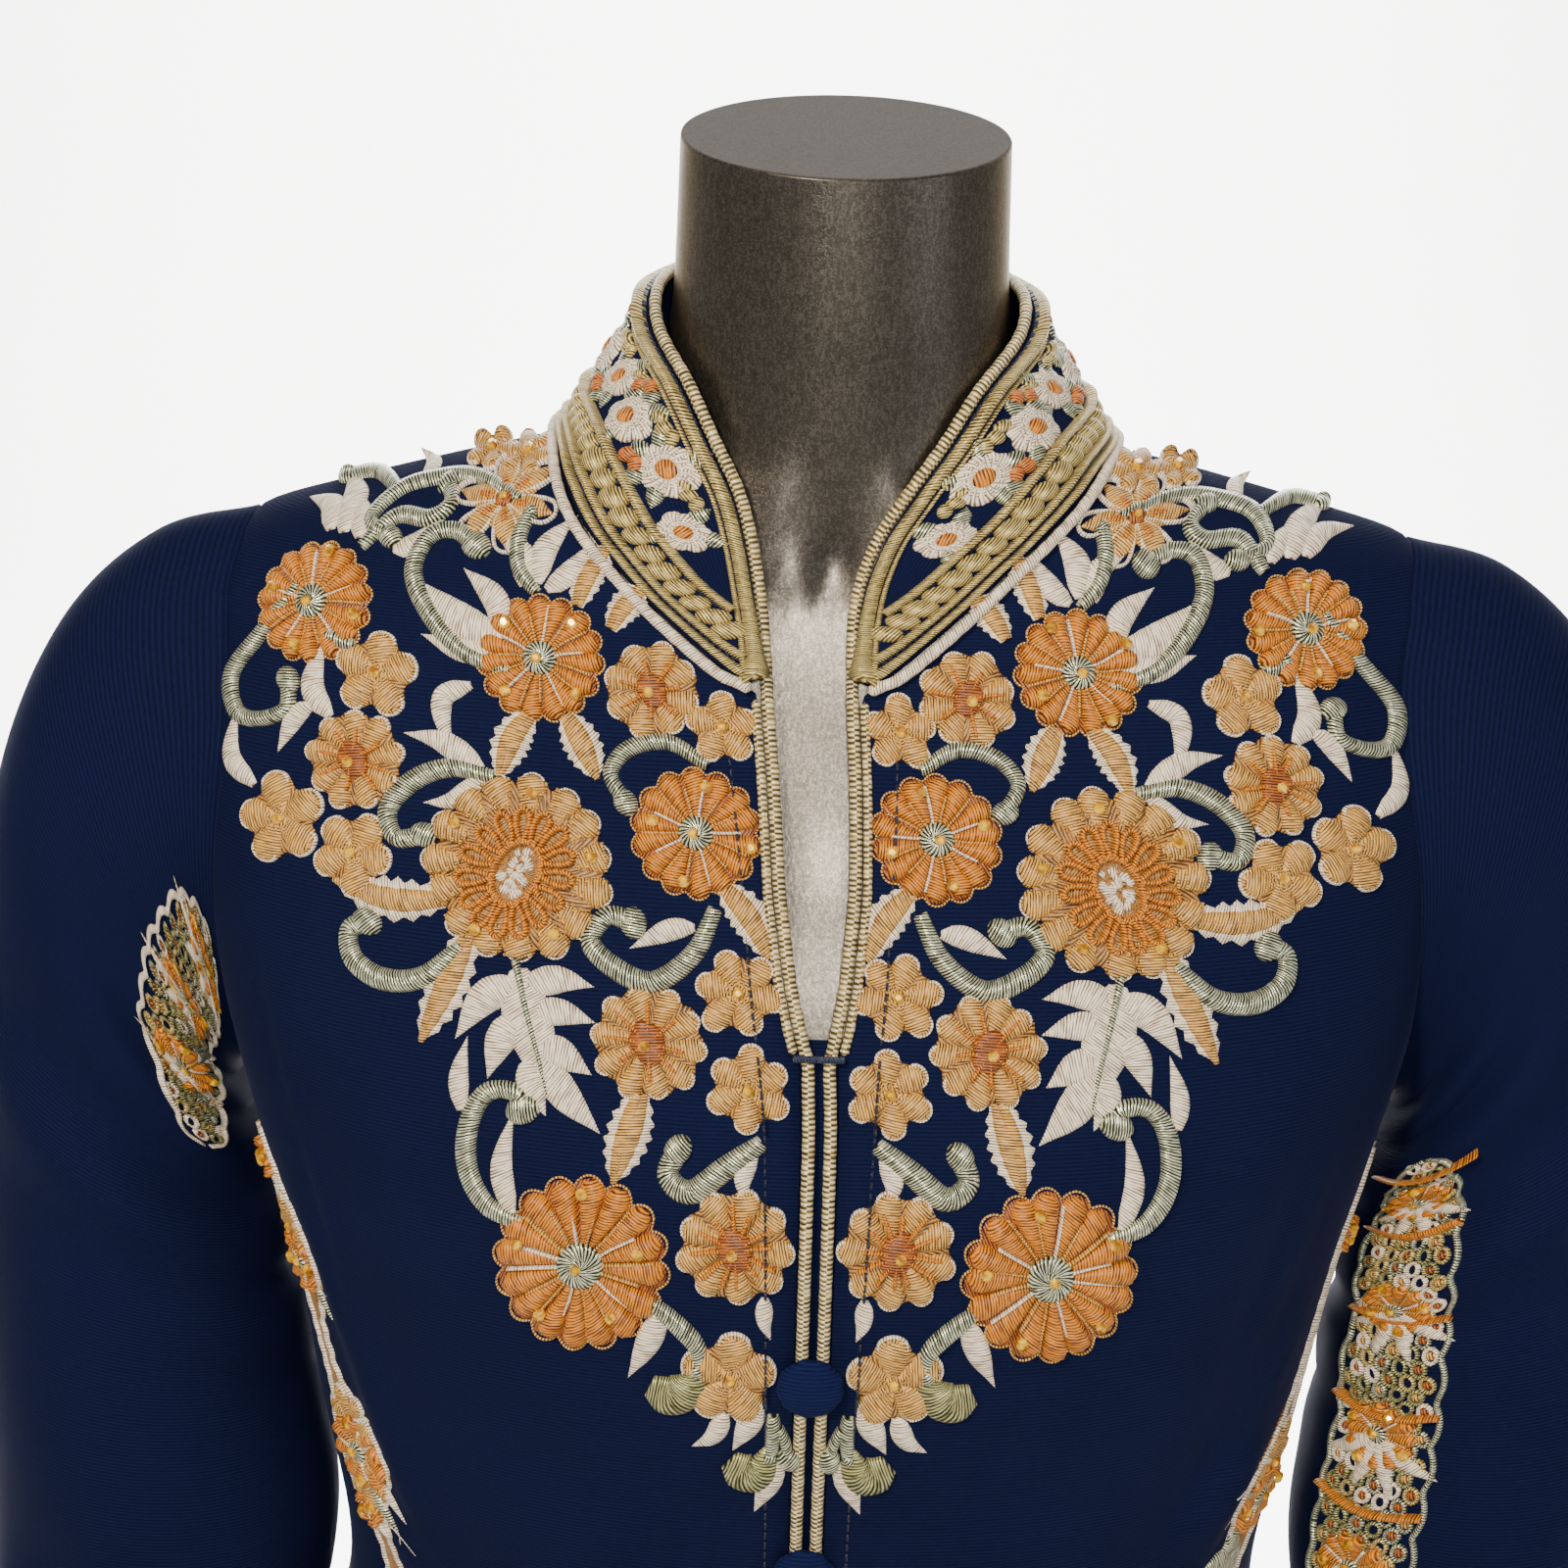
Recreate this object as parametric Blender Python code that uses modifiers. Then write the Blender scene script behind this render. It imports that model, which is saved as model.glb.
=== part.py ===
"""Maxi gown on a limbless dress form, with a pole and a round base.

Metres, +Z up. The gown's front faces -Y, +X is the viewer's right, and the origin is on the floor.
The cloth is thin walls through horizontal sections, and everything sewn on is moved out from those sections.
"""

import math
from collections import namedtuple

import bmesh
import bpy
import numpy as np
from mathutils import Matrix, Vector

COLLECTION = "maxi_gown"

Section = namedtuple("Section", "z side front back power")
Fold = namedtuple("Fold", "angle_deg depth half_width_deg top_z")
SlitRow = namedtuple("SlitRow", "z half_gap")
CollarRow = namedtuple("CollarRow", "edge_x edge_z seam_x seam_z back")
SleeveRow = namedtuple("SleeveRow", "under_clear under_z top_x top_z half_depth mid_y")
BorderRow = namedtuple("BorderRow", "z centre_deg half_width")
Flower = namedtuple("Flower", "name x z radius petals height")
LeanRow = namedtuple("LeanRow", "z shift")


def table(kind, *rows):
    """Rows with named columns."""
    return tuple(kind(*row) for row in rows)


# Walls, gaps and heights
CLOTH = 0.0015
COLLAR_WALL = 0.0022
UNDERLAP_WALL = 0.0010
SEAM_GAP = 0.0003
SHARP_ANGLE = math.radians(40.0)
HEM_Z = 0.030
SLIT_END_Z = 1.312
PLACKET_END_Z = 0.948
NECK_TOP_Z = 1.580
TORSO_BOTTOM_Z = 0.800
NECK_TILT = math.radians(9.0)
NECK_TILT_START_Z = 1.530

# Dress form: the outline of each horizontal section, x = side, y = front or back, power = squareness
FORM = table(
    Section,
    (0.800, 0.1600, 0.1000, 0.1080, 2.30),
    (0.900, 0.1700, 0.1040, 0.1160, 2.30),
    (0.990, 0.1500, 0.0960, 0.1020, 2.20),
    (1.070, 0.1220, 0.0860, 0.0800, 2.20),
    (1.130, 0.1300, 0.0960, 0.0800, 2.20),
    (1.190, 0.1440, 0.1120, 0.0850, 2.30),
    (1.240, 0.1520, 0.1180, 0.0900, 2.30),
    (1.300, 0.1620, 0.1080, 0.0940, 2.30),
    (1.350, 0.1740, 0.0900, 0.0940, 2.20),
    (1.395, 0.1840, 0.0730, 0.0860, 2.10),
    (1.430, 0.1870, 0.0600, 0.0750, 2.00),
    (1.447, 0.1830, 0.0550, 0.0690, 1.85),
    (1.456, 0.1740, 0.0535, 0.0670, 1.75),
    (1.465, 0.1510, 0.0525, 0.0650, 1.62),
    (1.474, 0.1165, 0.0520, 0.0620, 1.55),
    (1.482, 0.0845, 0.0520, 0.0600, 1.60),
    (1.492, 0.0670, 0.0520, 0.0570, 1.75),
    (1.505, 0.0590, 0.0520, 0.0550, 1.90),
    (1.530, 0.0540, 0.0525, 0.0530, 2.00),
    (1.580, 0.0525, 0.0525, 0.0525, 2.00),
)

# Gown: the inner face of the cloth, on the same plan
GOWN = table(
    Section,
    (0.030, 0.4000, 0.3700, 0.3583, 2.10),
    (0.350, 0.3350, 0.2900, 0.3100, 2.10),
    (0.650, 0.2680, 0.2150, 0.2400, 2.10),
    (0.850, 0.2220, 0.1620, 0.1780, 2.15),
    (0.980, 0.1900, 0.1320, 0.1420, 2.20),
    (1.075, 0.1640, 0.1140, 0.1120, 2.20),
    (1.150, 0.1740, 0.1180, 0.1000, 2.30),
    (1.200, 0.1815, 0.1240, 0.0990, 2.30),
    (1.250, 0.1920, 0.1260, 0.1010, 2.35),
    (1.300, 0.2030, 0.1170, 0.1040, 2.40),
    (1.350, 0.2080, 0.1000, 0.1030, 2.40),
    (1.395, 0.2070, 0.0810, 0.0930, 2.30),
    (1.430, 0.2050, 0.0665, 0.0810, 2.15),
    (1.447, 0.1970, 0.0595, 0.0735, 1.95),
    (1.456, 0.1850, 0.0570, 0.0710, 1.80),
    (1.465, 0.1560, 0.0555, 0.0680, 1.65),
    (1.474, 0.1220, 0.0550, 0.0650, 1.57),
    (1.482, 0.0905, 0.0550, 0.0630, 1.60),
    (1.490, 0.0700, 0.0550, 0.0600, 1.70),
)

# Skirt folds, as soft ridges: angle from centre front, depth at the hem, half width, and the height each starts at
FOLDS = table(
    Fold,
    (15.0, 0.019, 7.5, 0.93),
    (37.0, 0.027, 9.0, 1.00),
    (61.0, 0.022, 8.0, 0.94),
    (86.0, 0.019, 9.0, 0.98),
    (110.0, 0.026, 9.0, 0.96),
    (134.0, 0.023, 8.5, 1.01),
    (158.0, 0.026, 9.0, 0.95),
    (180.0, 0.018, 6.0, 0.92),
)
FOLD_EASE = 1.3

# Rows of the body panels below the neckline
PANEL_ROWS = (
    0.030, 0.150, 0.285, 0.420, 0.550, 0.680, 0.790, 0.880, 0.948, 1.010, 1.060, 1.105, 1.150,
    1.190, 1.227, 1.262, 1.292, 1.321, 1.349, 1.375, 1.397, 1.4155,
)
BACK_NECK_ROWS = (1.428, 1.441, 1.461, 1.468)
PANEL_COLUMNS = 12

# Armholes, as an upright oval seen from the side
ARMHOLE_LOW_Z = 1.262
ARMHOLE_TOP_Z = 1.4535
ARMHOLE_HALF_DEPTH = 0.042

# Half of the gap seen between the two edge cords, from the top of the slit down
SLIT = table(
    SlitRow,
    (1.4195, 0.0113),
    (1.3850, 0.0106),
    (1.3600, 0.0098),
    (1.3350, 0.0068),
    (1.3200, 0.0038),
    (1.3120, 0.0014),
    (0.9480, 0.0011),
)
CORD_RADIUS = 0.0020
CORD_LIFT = 0.0008
CORD_STEP = 0.014

# Standing collar, from its front point round to the centre back: its corded free edge and its neckline seam
COLLAR = table(
    CollarRow,
    (0.0134, 1.4205, 0.0190, 1.4190, False),
    (0.0137, 1.4290, 0.0260, 1.4225, False),
    (0.0144, 1.4390, 0.0370, 1.4305, False),
    (0.0165, 1.4510, 0.0500, 1.4410, False),
    (0.0205, 1.4640, 0.0610, 1.4515, False),
    (0.0270, 1.4770, 0.0705, 1.4605, False),
    (0.0360, 1.4910, 0.0780, 1.4690, False),
    (0.0450, 1.5060, 0.0835, 1.4765, False),
    (0.0570, 1.5200, 0.0890, 1.4825, False),
    (0.0590, 1.5300, 0.0830, 1.4830, True),
    (0.0530, 1.5340, 0.0690, 1.4815, True),
    (0.0400, 1.5360, 0.0520, 1.4790, True),
    (0.0220, 1.5370, 0.0290, 1.4765, True),
    (0.0000, 1.5375, 0.0000, 1.4755, True),
)
COLLAR_STEPS = 4
COLLAR_STANDOFF = 0.0050
COLLAR_BULGE = 0.0015
NECKLINE_CORD_RADIUS = 0.0018
NECKLINE_CORD_OUT = 0.0040
NECKLINE_CORD_CLEAR = 0.0020
NECKLINE_DROP = 0.0010
COLLAR_SEAM_RISE = 0.0004
NECK_TOP_ROW_Z = 1.4802

# Sleeves: the under line is measured out from the gown's side, the top line from the centre
SLEEVE = table(
    SleeveRow,
    (0.0085, 1.2590, 0.2240, 1.4440, 0.046, 0.000),
    (0.0100, 1.2530, 0.2540, 1.4160, 0.050, 0.000),
    (0.0095, 1.2420, 0.2760, 1.3680, 0.054, 0.000),
    (0.0075, 1.2200, 0.2880, 1.3020, 0.056, 0.000),
    (0.0065, 1.1850, 0.2930, 1.2300, 0.057, -0.002),
    (0.0065, 1.1380, 0.2940, 1.1560, 0.057, -0.005),
    (0.0080, 1.0830, 0.2930, 1.0900, 0.056, -0.008),
    (0.0075, 1.0250, 0.2960, 1.0250, 0.055, -0.010),
    (0.0080, 0.9650, 0.3040, 0.9640, 0.056, -0.012),
    (0.0100, 0.9050, 0.3170, 0.9030, 0.057, -0.014),
    (0.0130, 0.8500, 0.3310, 0.8480, 0.059, -0.015),
)
SLEEVE_SIDES = 18
SLEEVE_SEAM_OUT = 0.0031
SLEEVE_SWING = {"left": 0.000, "right": 0.009}
SWING_FROM_Z = 1.220
SWING_FULL_Z = 1.120

# How far the worn front is pulled sideways at each height, in full where it is this far in front of the side seams
LEAN = table(
    LeanRow,
    (1.2900, 0.0000),
    (1.3150, -0.0011),
    (1.3400, -0.0020),
    (1.3650, -0.0030),
    (1.3900, -0.0045),
    (1.4200, -0.0070),
    (1.4450, -0.0080),
    (1.4600, -0.0070),
    (1.4750, -0.0045),
    (1.5000, -0.0025),
    (1.5400, -0.0015),
)
LEAN_DEPTH = 0.050

# Buttons and the bar tack at the foot of the slit
BUTTON_TOP_Z = 1.2065
BUTTON_PITCH = 0.0735
BUTTON_COUNT = 4
BUTTON_RADIUS = 0.0105
BUTTON_HEIGHT = 0.0050
BUTTON_SEGMENTS = 16
BUTTON_X = -0.0005
BUTTON_LIFT = 0.0034
TACK_SIZE = (0.0160, 0.0012, 0.0022)
TACK_LIFT = 0.0040
UNDERLAP_HALF_WIDTH = 0.0140
UNDERLAP_LIFT = -0.0036
UNDERLAP_COLUMNS = 4
UNDERLAP_TOP_Z = 1.316

# Embroidered border down each side, in front of the side seam
BORDER = table(
    BorderRow,
    (1.2500, 83.0, 0.0040),
    (1.2270, 81.0, 0.0050),
    (1.1900, 79.0, 0.0060),
    (1.1500, 77.0, 0.0055),
    (1.1050, 74.0, 0.0070),
    (1.0600, 71.0, 0.0090),
    (1.0100, 70.0, 0.0090),
    (0.9480, 70.0, 0.0040),
)
APPLIQUE_LIFT = CLOTH + SEAM_GAP
BORDER_HEIGHT = 0.0012

# Raised flowers on each side of the yoke: distance from the centre, height, radius, petals, height over the cloth
FLOWERS = table(
    Flower,
    ("orange_shoulder", 0.1570, 1.4330, 0.0195, 14, 0.0016),
    ("orange_chest", 0.0835, 1.4230, 0.0200, 14, 0.0016),
    ("orange_centre", 0.0370, 1.3750, 0.0205, 14, 0.0016),
    ("orange_low", 0.0730, 1.2435, 0.0280, 16, 0.0016),
    ("mandala", 0.0925, 1.3625, 0.0300, 15, 0.0020),
    ("peach_outer", 0.1440, 1.3885, 0.0160, 9, 0.0013),
    ("peach_inner", 0.0525, 1.3145, 0.0180, 10, 0.0013),
    ("peach_low", 0.0240, 1.2535, 0.0170, 10, 0.0013),
)
FLOWER_NOTCH = 0.90
FLOWER_RINGS = (1.00, 0.52)

# Stand under the torso
BASE_RADIUS = 0.190
BASE_HEIGHT = 0.012
HUB_RADIUS = 0.030
HUB_HEIGHT = 0.032
CONE_TIP_RADIUS = 0.0175
POLE_RADIUS = 0.0125
SOCKET_RADIUS = 0.032
SOCKET_HEIGHT = 0.030
STAND_SIDES = 40
TORSO_SIDES = 28

FORM_ROWS = (
    0.800, 0.850, 0.900, 0.945, 0.990, 1.030, 1.070, 1.110, 1.150, 1.190, 1.240, 1.285, 1.330, 1.370,
    1.400, 1.425, 1.440, 1.450, 1.458, 1.465, 1.472, 1.480, 1.490, 1.504, 1.524, 1.580,
)


def read_smooth(knots, values, x):
    """Value of a smooth curve through the knots at x, with no overshoot between them."""
    slopes = np.diff(values) / np.diff(knots)
    tangents = np.zeros(len(knots))
    for i in range(1, len(knots) - 1):
        if slopes[i - 1] * slopes[i] > 0:
            tangents[i] = 2 * slopes[i - 1] * slopes[i] / (slopes[i - 1] + slopes[i])
    tangents[0], tangents[-1] = slopes[0], slopes[-1]
    x = min(max(x, knots[0]), knots[-1])
    i = min(int(np.searchsorted(knots, x, side="right")) - 1, len(knots) - 2)
    width = knots[i + 1] - knots[i]
    t = (x - knots[i]) / width
    return (
        values[i] * (1 + 2 * t) * (1 - t) ** 2
        + tangents[i] * width * t * (1 - t) ** 2
        + values[i + 1] * t * t * (3 - 2 * t)
        + tangents[i + 1] * width * t * t * (t - 1)
    )


class Body:
    """A stack of horizontal sections, each a rounded oval with its own front, back and side."""

    def __init__(self, rows, folds=()):
        self.columns = np.array(rows).T
        self.folds = folds

    def section(self, z):
        """Side, front, back and power at a height."""
        knots, *columns = self.columns
        return [read_smooth(knots, values, z) for values in columns]

    def fold(self, angle, z):
        """How far the folds stand out at an angle from centre front, in radians."""
        degrees = abs(math.degrees(angle))
        out = 0.0
        for fold_deg, depth, half_width, top_z in self.folds:
            if z < top_z:
                reach = ((top_z - z) / (top_z - HEM_Z)) ** FOLD_EASE
                out += depth * reach * math.exp(-(((degrees - fold_deg) / half_width) ** 2))
        return out

    def at_angle(self, angle, z, lift=0.0):
        """Point on the section at an angle from centre front, positive to +X."""
        side, front, back, power = self.section(z)
        lift = lift + self.fold(angle, z)
        sine, cosine = math.sin(angle), math.cos(angle)
        depth = front if cosine > 0 else back
        x = math.copysign((side + lift) * abs(sine) ** (2 / power), sine)
        y = -math.copysign((depth + lift) * abs(cosine) ** (2 / power), cosine)
        return Vector((x, y, z))

    def angle_of_x(self, x, z):
        """Angle from centre front, on the front half, of a distance from the centre."""
        side, _, _, power = self.section(z)
        return math.asin(min(abs(x) / side, 1.0) ** (power / 2))

    def angle_of_depth(self, y, z, back):
        """Angle from centre front of a distance y before or behind the side seam."""
        _, front_depth, back_depth, power = self.section(z)
        depth = back_depth if back else front_depth
        angle = math.acos(min(y / depth, 1.0) ** (power / 2))
        return math.pi - angle if back else angle

    def at_x(self, x, z, lift=0.0, back=False):
        """Point on the section at a distance from the centre, on the front or the back."""
        side, front, rear, power = self.section(z)
        depth = rear if back else front
        part = min(abs(x) / (side + lift), 1.0) ** power
        y = (depth + lift) * (1 - part) ** (1 / power)
        return Vector((x, y if back else -y, z))

    def inside(self, point):
        """Below zero inside the section at the point's height, above zero outside."""
        side, front, back, power = self.section(point.z)
        depth = back if point.y > 0 else front
        return (abs(point.x) / side) ** power + (abs(point.y) / depth) ** power - 1

    def normal(self, point):
        """Outward direction of the surface near a point."""
        step = 1e-4
        slope = [
            self.inside(point + step * Vector(axis)) - self.inside(point - step * Vector(axis))
            for axis in ((1, 0, 0), (0, 1, 0), (0, 0, 1))
        ]
        return Vector(slope).normalized()

    def drop(self, point, direction, reach=0.03):
        """Where the line through a point, along an outward direction, meets the surface."""
        low, high = -reach, reach
        for _ in range(40):
            middle = (low + high) / 2
            if self.inside(point + direction * middle) > 0:
                high = middle
            else:
                low = middle
        return point + direction * (low + high) / 2

    def frame(self, x, z, lift=0.0):
        """Point on the front, with directions across, up and out of the surface."""
        point = self.at_x(x, z)
        out = self.normal(point)
        across = Vector((-out.y, out.x, 0.0)).normalized()
        return point + out * lift, across, out.cross(across), out


FORM_BODY = Body(FORM)
GOWN_BODY = Body(GOWN, FOLDS)


def plain_material(name, colour, roughness, metallic=0.0):
    """A Principled material, or the one of that name."""
    material = bpy.data.materials.get(name)
    if material is None:
        material = bpy.data.materials.new(name)
        material.use_nodes = True
        shader = material.node_tree.nodes["Principled BSDF"]
        shader.inputs["Base Color"].default_value = (*colour, 1.0)
        shader.inputs["Roughness"].default_value = roughness
        shader.inputs["Metallic"].default_value = metallic
        material.diffuse_color = (*colour, 1.0)
    return material


def navy_crepe():
    return plain_material("navy_crepe", (0.010, 0.018, 0.075), 0.75)


def gold_cord():
    return plain_material("gold_cord", (0.46, 0.36, 0.15), 0.45, 0.3)


def orange_thread():
    return plain_material("orange_thread", (0.60, 0.22, 0.04), 0.5)


def peach_thread():
    return plain_material("peach_thread", (0.66, 0.40, 0.18), 0.5)


def form_paint():
    return plain_material("form_paint", (0.105, 0.095, 0.085), 0.35, 0.8)


def stand_steel():
    return plain_material("stand_steel", (0.35, 0.35, 0.35), 0.3, 1.0)


def add_object(name, mesh, material, collection):
    """Object of a mesh, with its material, in the gown's collection."""
    mesh.materials.append(material)
    obj = bpy.data.objects.new(name, mesh)
    collection.objects.link(obj)
    return obj


def mesh_of(bm, name):
    """Mesh of a finished bmesh, shaded smooth with its hard edges kept."""
    mesh = bpy.data.meshes.new(name)
    bm.to_mesh(mesh)
    bm.free()
    mesh.shade_smooth()
    mesh.set_sharp_from_angle(angle=SHARP_ANGLE)
    return mesh


def loft(bm, rows, closed=False, flip=False):
    """Quads between rows of points. Closed rows join their last point to their first."""
    grid = [[bm.verts.new(point) for point in row] for row in rows]
    for lower, upper in zip(grid, grid[1:]):
        count = len(lower)
        for i in range(count if closed else count - 1):
            j = (i + 1) % count
            corners = [lower[i], lower[j], upper[j], upper[i]]
            bm.faces.new(corners[::-1] if flip else corners)
    return grid


def add_wall(obj, thickness):
    """Thicken an open surface outwards."""
    wall = obj.modifiers.new("wall", "SOLIDIFY")
    wall.thickness = thickness
    wall.offset = 1.0
    return obj


def slit_half_gap(z):
    """Half of the gap between the edge cords at a height of the slit or placket."""
    heights, gaps = np.array(SLIT[::-1]).T
    return float(np.interp(z, heights, gaps))


def neckline_x(z, back):
    """Distance of a panel's neckline edge from the centre at a height, just clear of the collar's seam."""
    seam = sorted((row.seam_z - NECKLINE_DROP, row.seam_x + SEAM_GAP) for row in COLLAR if row.back == back)
    heights, distances = np.array(seam).T
    return float(np.interp(z, heights, distances))


def armhole_half_depth(z):
    """Distance of the armhole's edge before or behind the side seam at a height."""
    middle = (ARMHOLE_LOW_Z + ARMHOLE_TOP_Z) / 2
    half = (ARMHOLE_TOP_Z - ARMHOLE_LOW_Z) / 2
    return ARMHOLE_HALF_DEPTH * math.sqrt(max(0.0, 1 - ((z - middle) / half) ** 2))


def side_angle(z, back):
    """Angle of the panel's outer edge: the side seam, the armhole or the shoulder seam."""
    if ARMHOLE_LOW_Z < z < ARMHOLE_TOP_Z:
        return GOWN_BODY.angle_of_depth(armhole_half_depth(z), z, back)
    side = GOWN_BODY.section(z)[0]
    seam = SEAM_GAP / side
    return math.pi / 2 + seam if back else math.pi / 2 - seam


def front_start_angle(z):
    """Angle of the front panel's inner edge: beside the cord, the centre seam or the neckline."""
    if z < PLACKET_END_Z - CORD_STEP:
        inner = SEAM_GAP / 2
    elif z <= PANEL_ROWS[-1]:
        inner = slit_half_gap(z) + 2 * CORD_RADIUS + 2 * SEAM_GAP
    else:
        inner = neckline_x(z, back=False)
    return GOWN_BODY.angle_of_x(inner, z)


def back_start_angle(z):
    """Angle of the back panel's inner edge: the centre back or the neckline."""
    if z <= COLLAR[-1].seam_z - NECKLINE_DROP:
        return math.pi
    return math.pi - GOWN_BODY.angle_of_x(neckline_x(z, back=True), z)


def front_rows():
    """Heights of the front panels' rows."""
    neck = [row.seam_z - NECKLINE_DROP for row in COLLAR if not row.back][1:-1]
    return sorted([*PANEL_ROWS, *neck, ARMHOLE_TOP_Z, NECK_TOP_ROW_Z])


def back_rows():
    """Heights of the back panel's rows."""
    neck = [row.seam_z - NECKLINE_DROP for row in COLLAR if row.back][1:]
    return sorted([*PANEL_ROWS, *BACK_NECK_ROWS, ARMHOLE_TOP_Z, *neck])


def panel_points(heights, start, columns, side, back):
    """Rows of points of half a panel, from its centre edge to its outer edge."""
    rows = []
    for z in heights:
        first, last = start(z), side_angle(z, back)
        angles = np.linspace(first, last, columns + 1)
        rows.append([GOWN_BODY.at_angle(side * float(angle), z) for angle in angles])
    return rows


def build_front(name, side, collection):
    """One front, from the hem to the neckline, shoulder seam and armhole."""
    bm = bmesh.new()
    rows = panel_points(front_rows(), front_start_angle, PANEL_COLUMNS, side, back=False)
    loft(bm, rows, flip=side < 0)
    return add_wall(add_object(name, mesh_of(bm, name), navy_crepe(), collection), CLOTH)


def build_back(collection):
    """The back in one piece, its two halves joined down the centre."""
    bm = bmesh.new()
    for side in (-1, 1):
        rows = panel_points(back_rows(), back_start_angle, PANEL_COLUMNS, side, back=True)
        loft(bm, rows, flip=side > 0)
    bmesh.ops.remove_doubles(bm, verts=bm.verts, dist=1e-5)
    return add_wall(add_object("back", mesh_of(bm, "back"), navy_crepe(), collection), CLOTH)


def armhole_ring(side):
    """Points round the armhole on the gown, from the shoulder tip forwards."""
    middle = (ARMHOLE_LOW_Z + ARMHOLE_TOP_Z) / 2
    half = (ARMHOLE_TOP_Z - ARMHOLE_LOW_Z) / 2
    ring = []
    for i in range(SLEEVE_SIDES):
        turn = 2 * math.pi * i / SLEEVE_SIDES
        z = middle + half * math.cos(turn)
        back = math.sin(turn) < 0
        angle = GOWN_BODY.angle_of_depth(ARMHOLE_HALF_DEPTH * abs(math.sin(turn)), z, back)
        point = GOWN_BODY.at_angle(side * angle, z)
        point.x += side * SLEEVE_SEAM_OUT
        ring.append(point)
    return ring


def swing(side_name, z):
    """How far a sleeve hangs out from the body below the underarm."""
    part = (SWING_FROM_Z - z) / (SWING_FROM_Z - SWING_FULL_Z)
    return SLEEVE_SWING[side_name] * min(max(part, 0.0), 1.0)


def sleeve_rings(side_name):
    """Rings of the sleeve, from the armhole to the wrist."""
    side = -1 if side_name == "left" else 1
    rings = [armhole_ring(side)]
    for under_clear, under_z, top_x, top_z, half_depth, mid_y in SLEEVE:
        out = swing(side_name, under_z)
        under_x = (GOWN_BODY.at_angle(math.pi / 2, under_z)).x + under_clear + out
        under = Vector((side * under_x, mid_y, under_z))
        top = Vector((side * (top_x + out), mid_y, top_z))
        ring = []
        for i in range(SLEEVE_SIDES):
            turn = 2 * math.pi * i / SLEEVE_SIDES
            point = (top + under) / 2 + (top - under) / 2 * math.cos(turn)
            point.y -= half_depth * math.sin(turn)
            ring.append(point)
        rings.append(ring)
    return rings


def build_sleeve(side_name, collection):
    """A long, empty sleeve, open at the armhole and the wrist."""
    name = "sleeve_" + side_name
    bm = bmesh.new()
    loft(bm, sleeve_rings(side_name), closed=True, flip=side_name == "left")
    return add_wall(add_object(name, mesh_of(bm, name), navy_crepe(), collection), CLOTH)


def collar_edge(row, side):
    """Centre of the edge cord at a row of the collar."""
    return FORM_BODY.at_x(side * row.edge_x, row.edge_z, COLLAR_STANDOFF, row.back)


def collar_seam(row, side):
    """Point on the neckline seam at a row of the collar."""
    return GOWN_BODY.at_x(side * row.seam_x, row.seam_z + COLLAR_SEAM_RISE, back=row.back)


def round_the_neck(function):
    """Values of a function of row and side, from the left front round the back to the right front."""
    left = [function(row, -1) for row in COLLAR]
    right = [function(row, 1) for row in COLLAR[:-1]]
    return left + right[::-1]


def collar_strip(row, side):
    """Points across the collar, from its cord to its seam."""
    edge = collar_edge(row, side)
    seam = collar_seam(row, side)
    across = (seam - edge).normalized()
    edge = edge + across * (CORD_RADIUS + SEAM_GAP)
    outward = Vector((edge.x, edge.y, 0.0)).normalized()
    points = []
    for i in range(COLLAR_STEPS + 1):
        part = i / COLLAR_STEPS
        bulge = COLLAR_BULGE * math.sin(math.pi * part)
        points.append(edge.lerp(seam, part) + outward * bulge)
    return points


def build_collar(collection):
    """The standing collar, open at the front."""
    bm = bmesh.new()
    loft(bm, round_the_neck(collar_strip), flip=True)
    return add_wall(add_object("collar", mesh_of(bm, "collar"), navy_crepe(), collection), COLLAR_WALL)


def build_tube(name, points, radius, material, collection):
    """A cord through points, with closed ends."""
    curve = bpy.data.curves.new(name, "CURVE")
    curve.dimensions = "3D"
    curve.bevel_depth = radius
    curve.bevel_resolution = 1
    curve.use_fill_caps = True
    spline = curve.splines.new("POLY")
    spline.points.add(len(points) - 1)
    for knot, point in zip(spline.points, points):
        knot.co = (*point, 1.0)
    curve.materials.append(material)
    obj = bpy.data.objects.new(name, curve)
    collection.objects.link(obj)
    return obj


def edge_cord_points(side):
    """Path of an edge cord: up the placket and the slit, then along the collar to the centre back."""
    points = []
    slit_top = SLIT[0].z
    count = round((slit_top - PLACKET_END_Z) / CORD_STEP)
    for z in np.linspace(PLACKET_END_Z, slit_top - CORD_STEP / 2, count):
        x = slit_half_gap(float(z)) + CORD_RADIUS
        points.append(GOWN_BODY.at_x(side * x, float(z), CORD_LIFT))
    points += [collar_edge(row, side) for row in COLLAR[:-1]]
    end = collar_edge(COLLAR[-1], side)
    end.x = side * 2 * SEAM_GAP
    return points + [end]


def build_cords(collection):
    """The two edge cords and the cord that covers the neckline seam."""
    for side_name, side in (("left", -1), ("right", 1)):
        build_tube("edge_cord_" + side_name, edge_cord_points(side), CORD_RADIUS, gold_cord(), collection)
    points = round_the_neck(neckline_cord_point)
    build_tube("neckline_cord", points, NECKLINE_CORD_RADIUS, gold_cord(), collection)


def neckline_cord_point(row, side):
    """Point on the panels beside the neckline seam, half a cord above the cloth."""
    edge, seam = collar_edge(row, side), collar_seam(row, side)
    beside = seam + (seam - edge).normalized() * NECKLINE_CORD_OUT
    out = GOWN_BODY.normal(beside)
    return GOWN_BODY.drop(beside, out) + out * (CLOTH + NECKLINE_CORD_CLEAR + NECKLINE_CORD_RADIUS)


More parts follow.
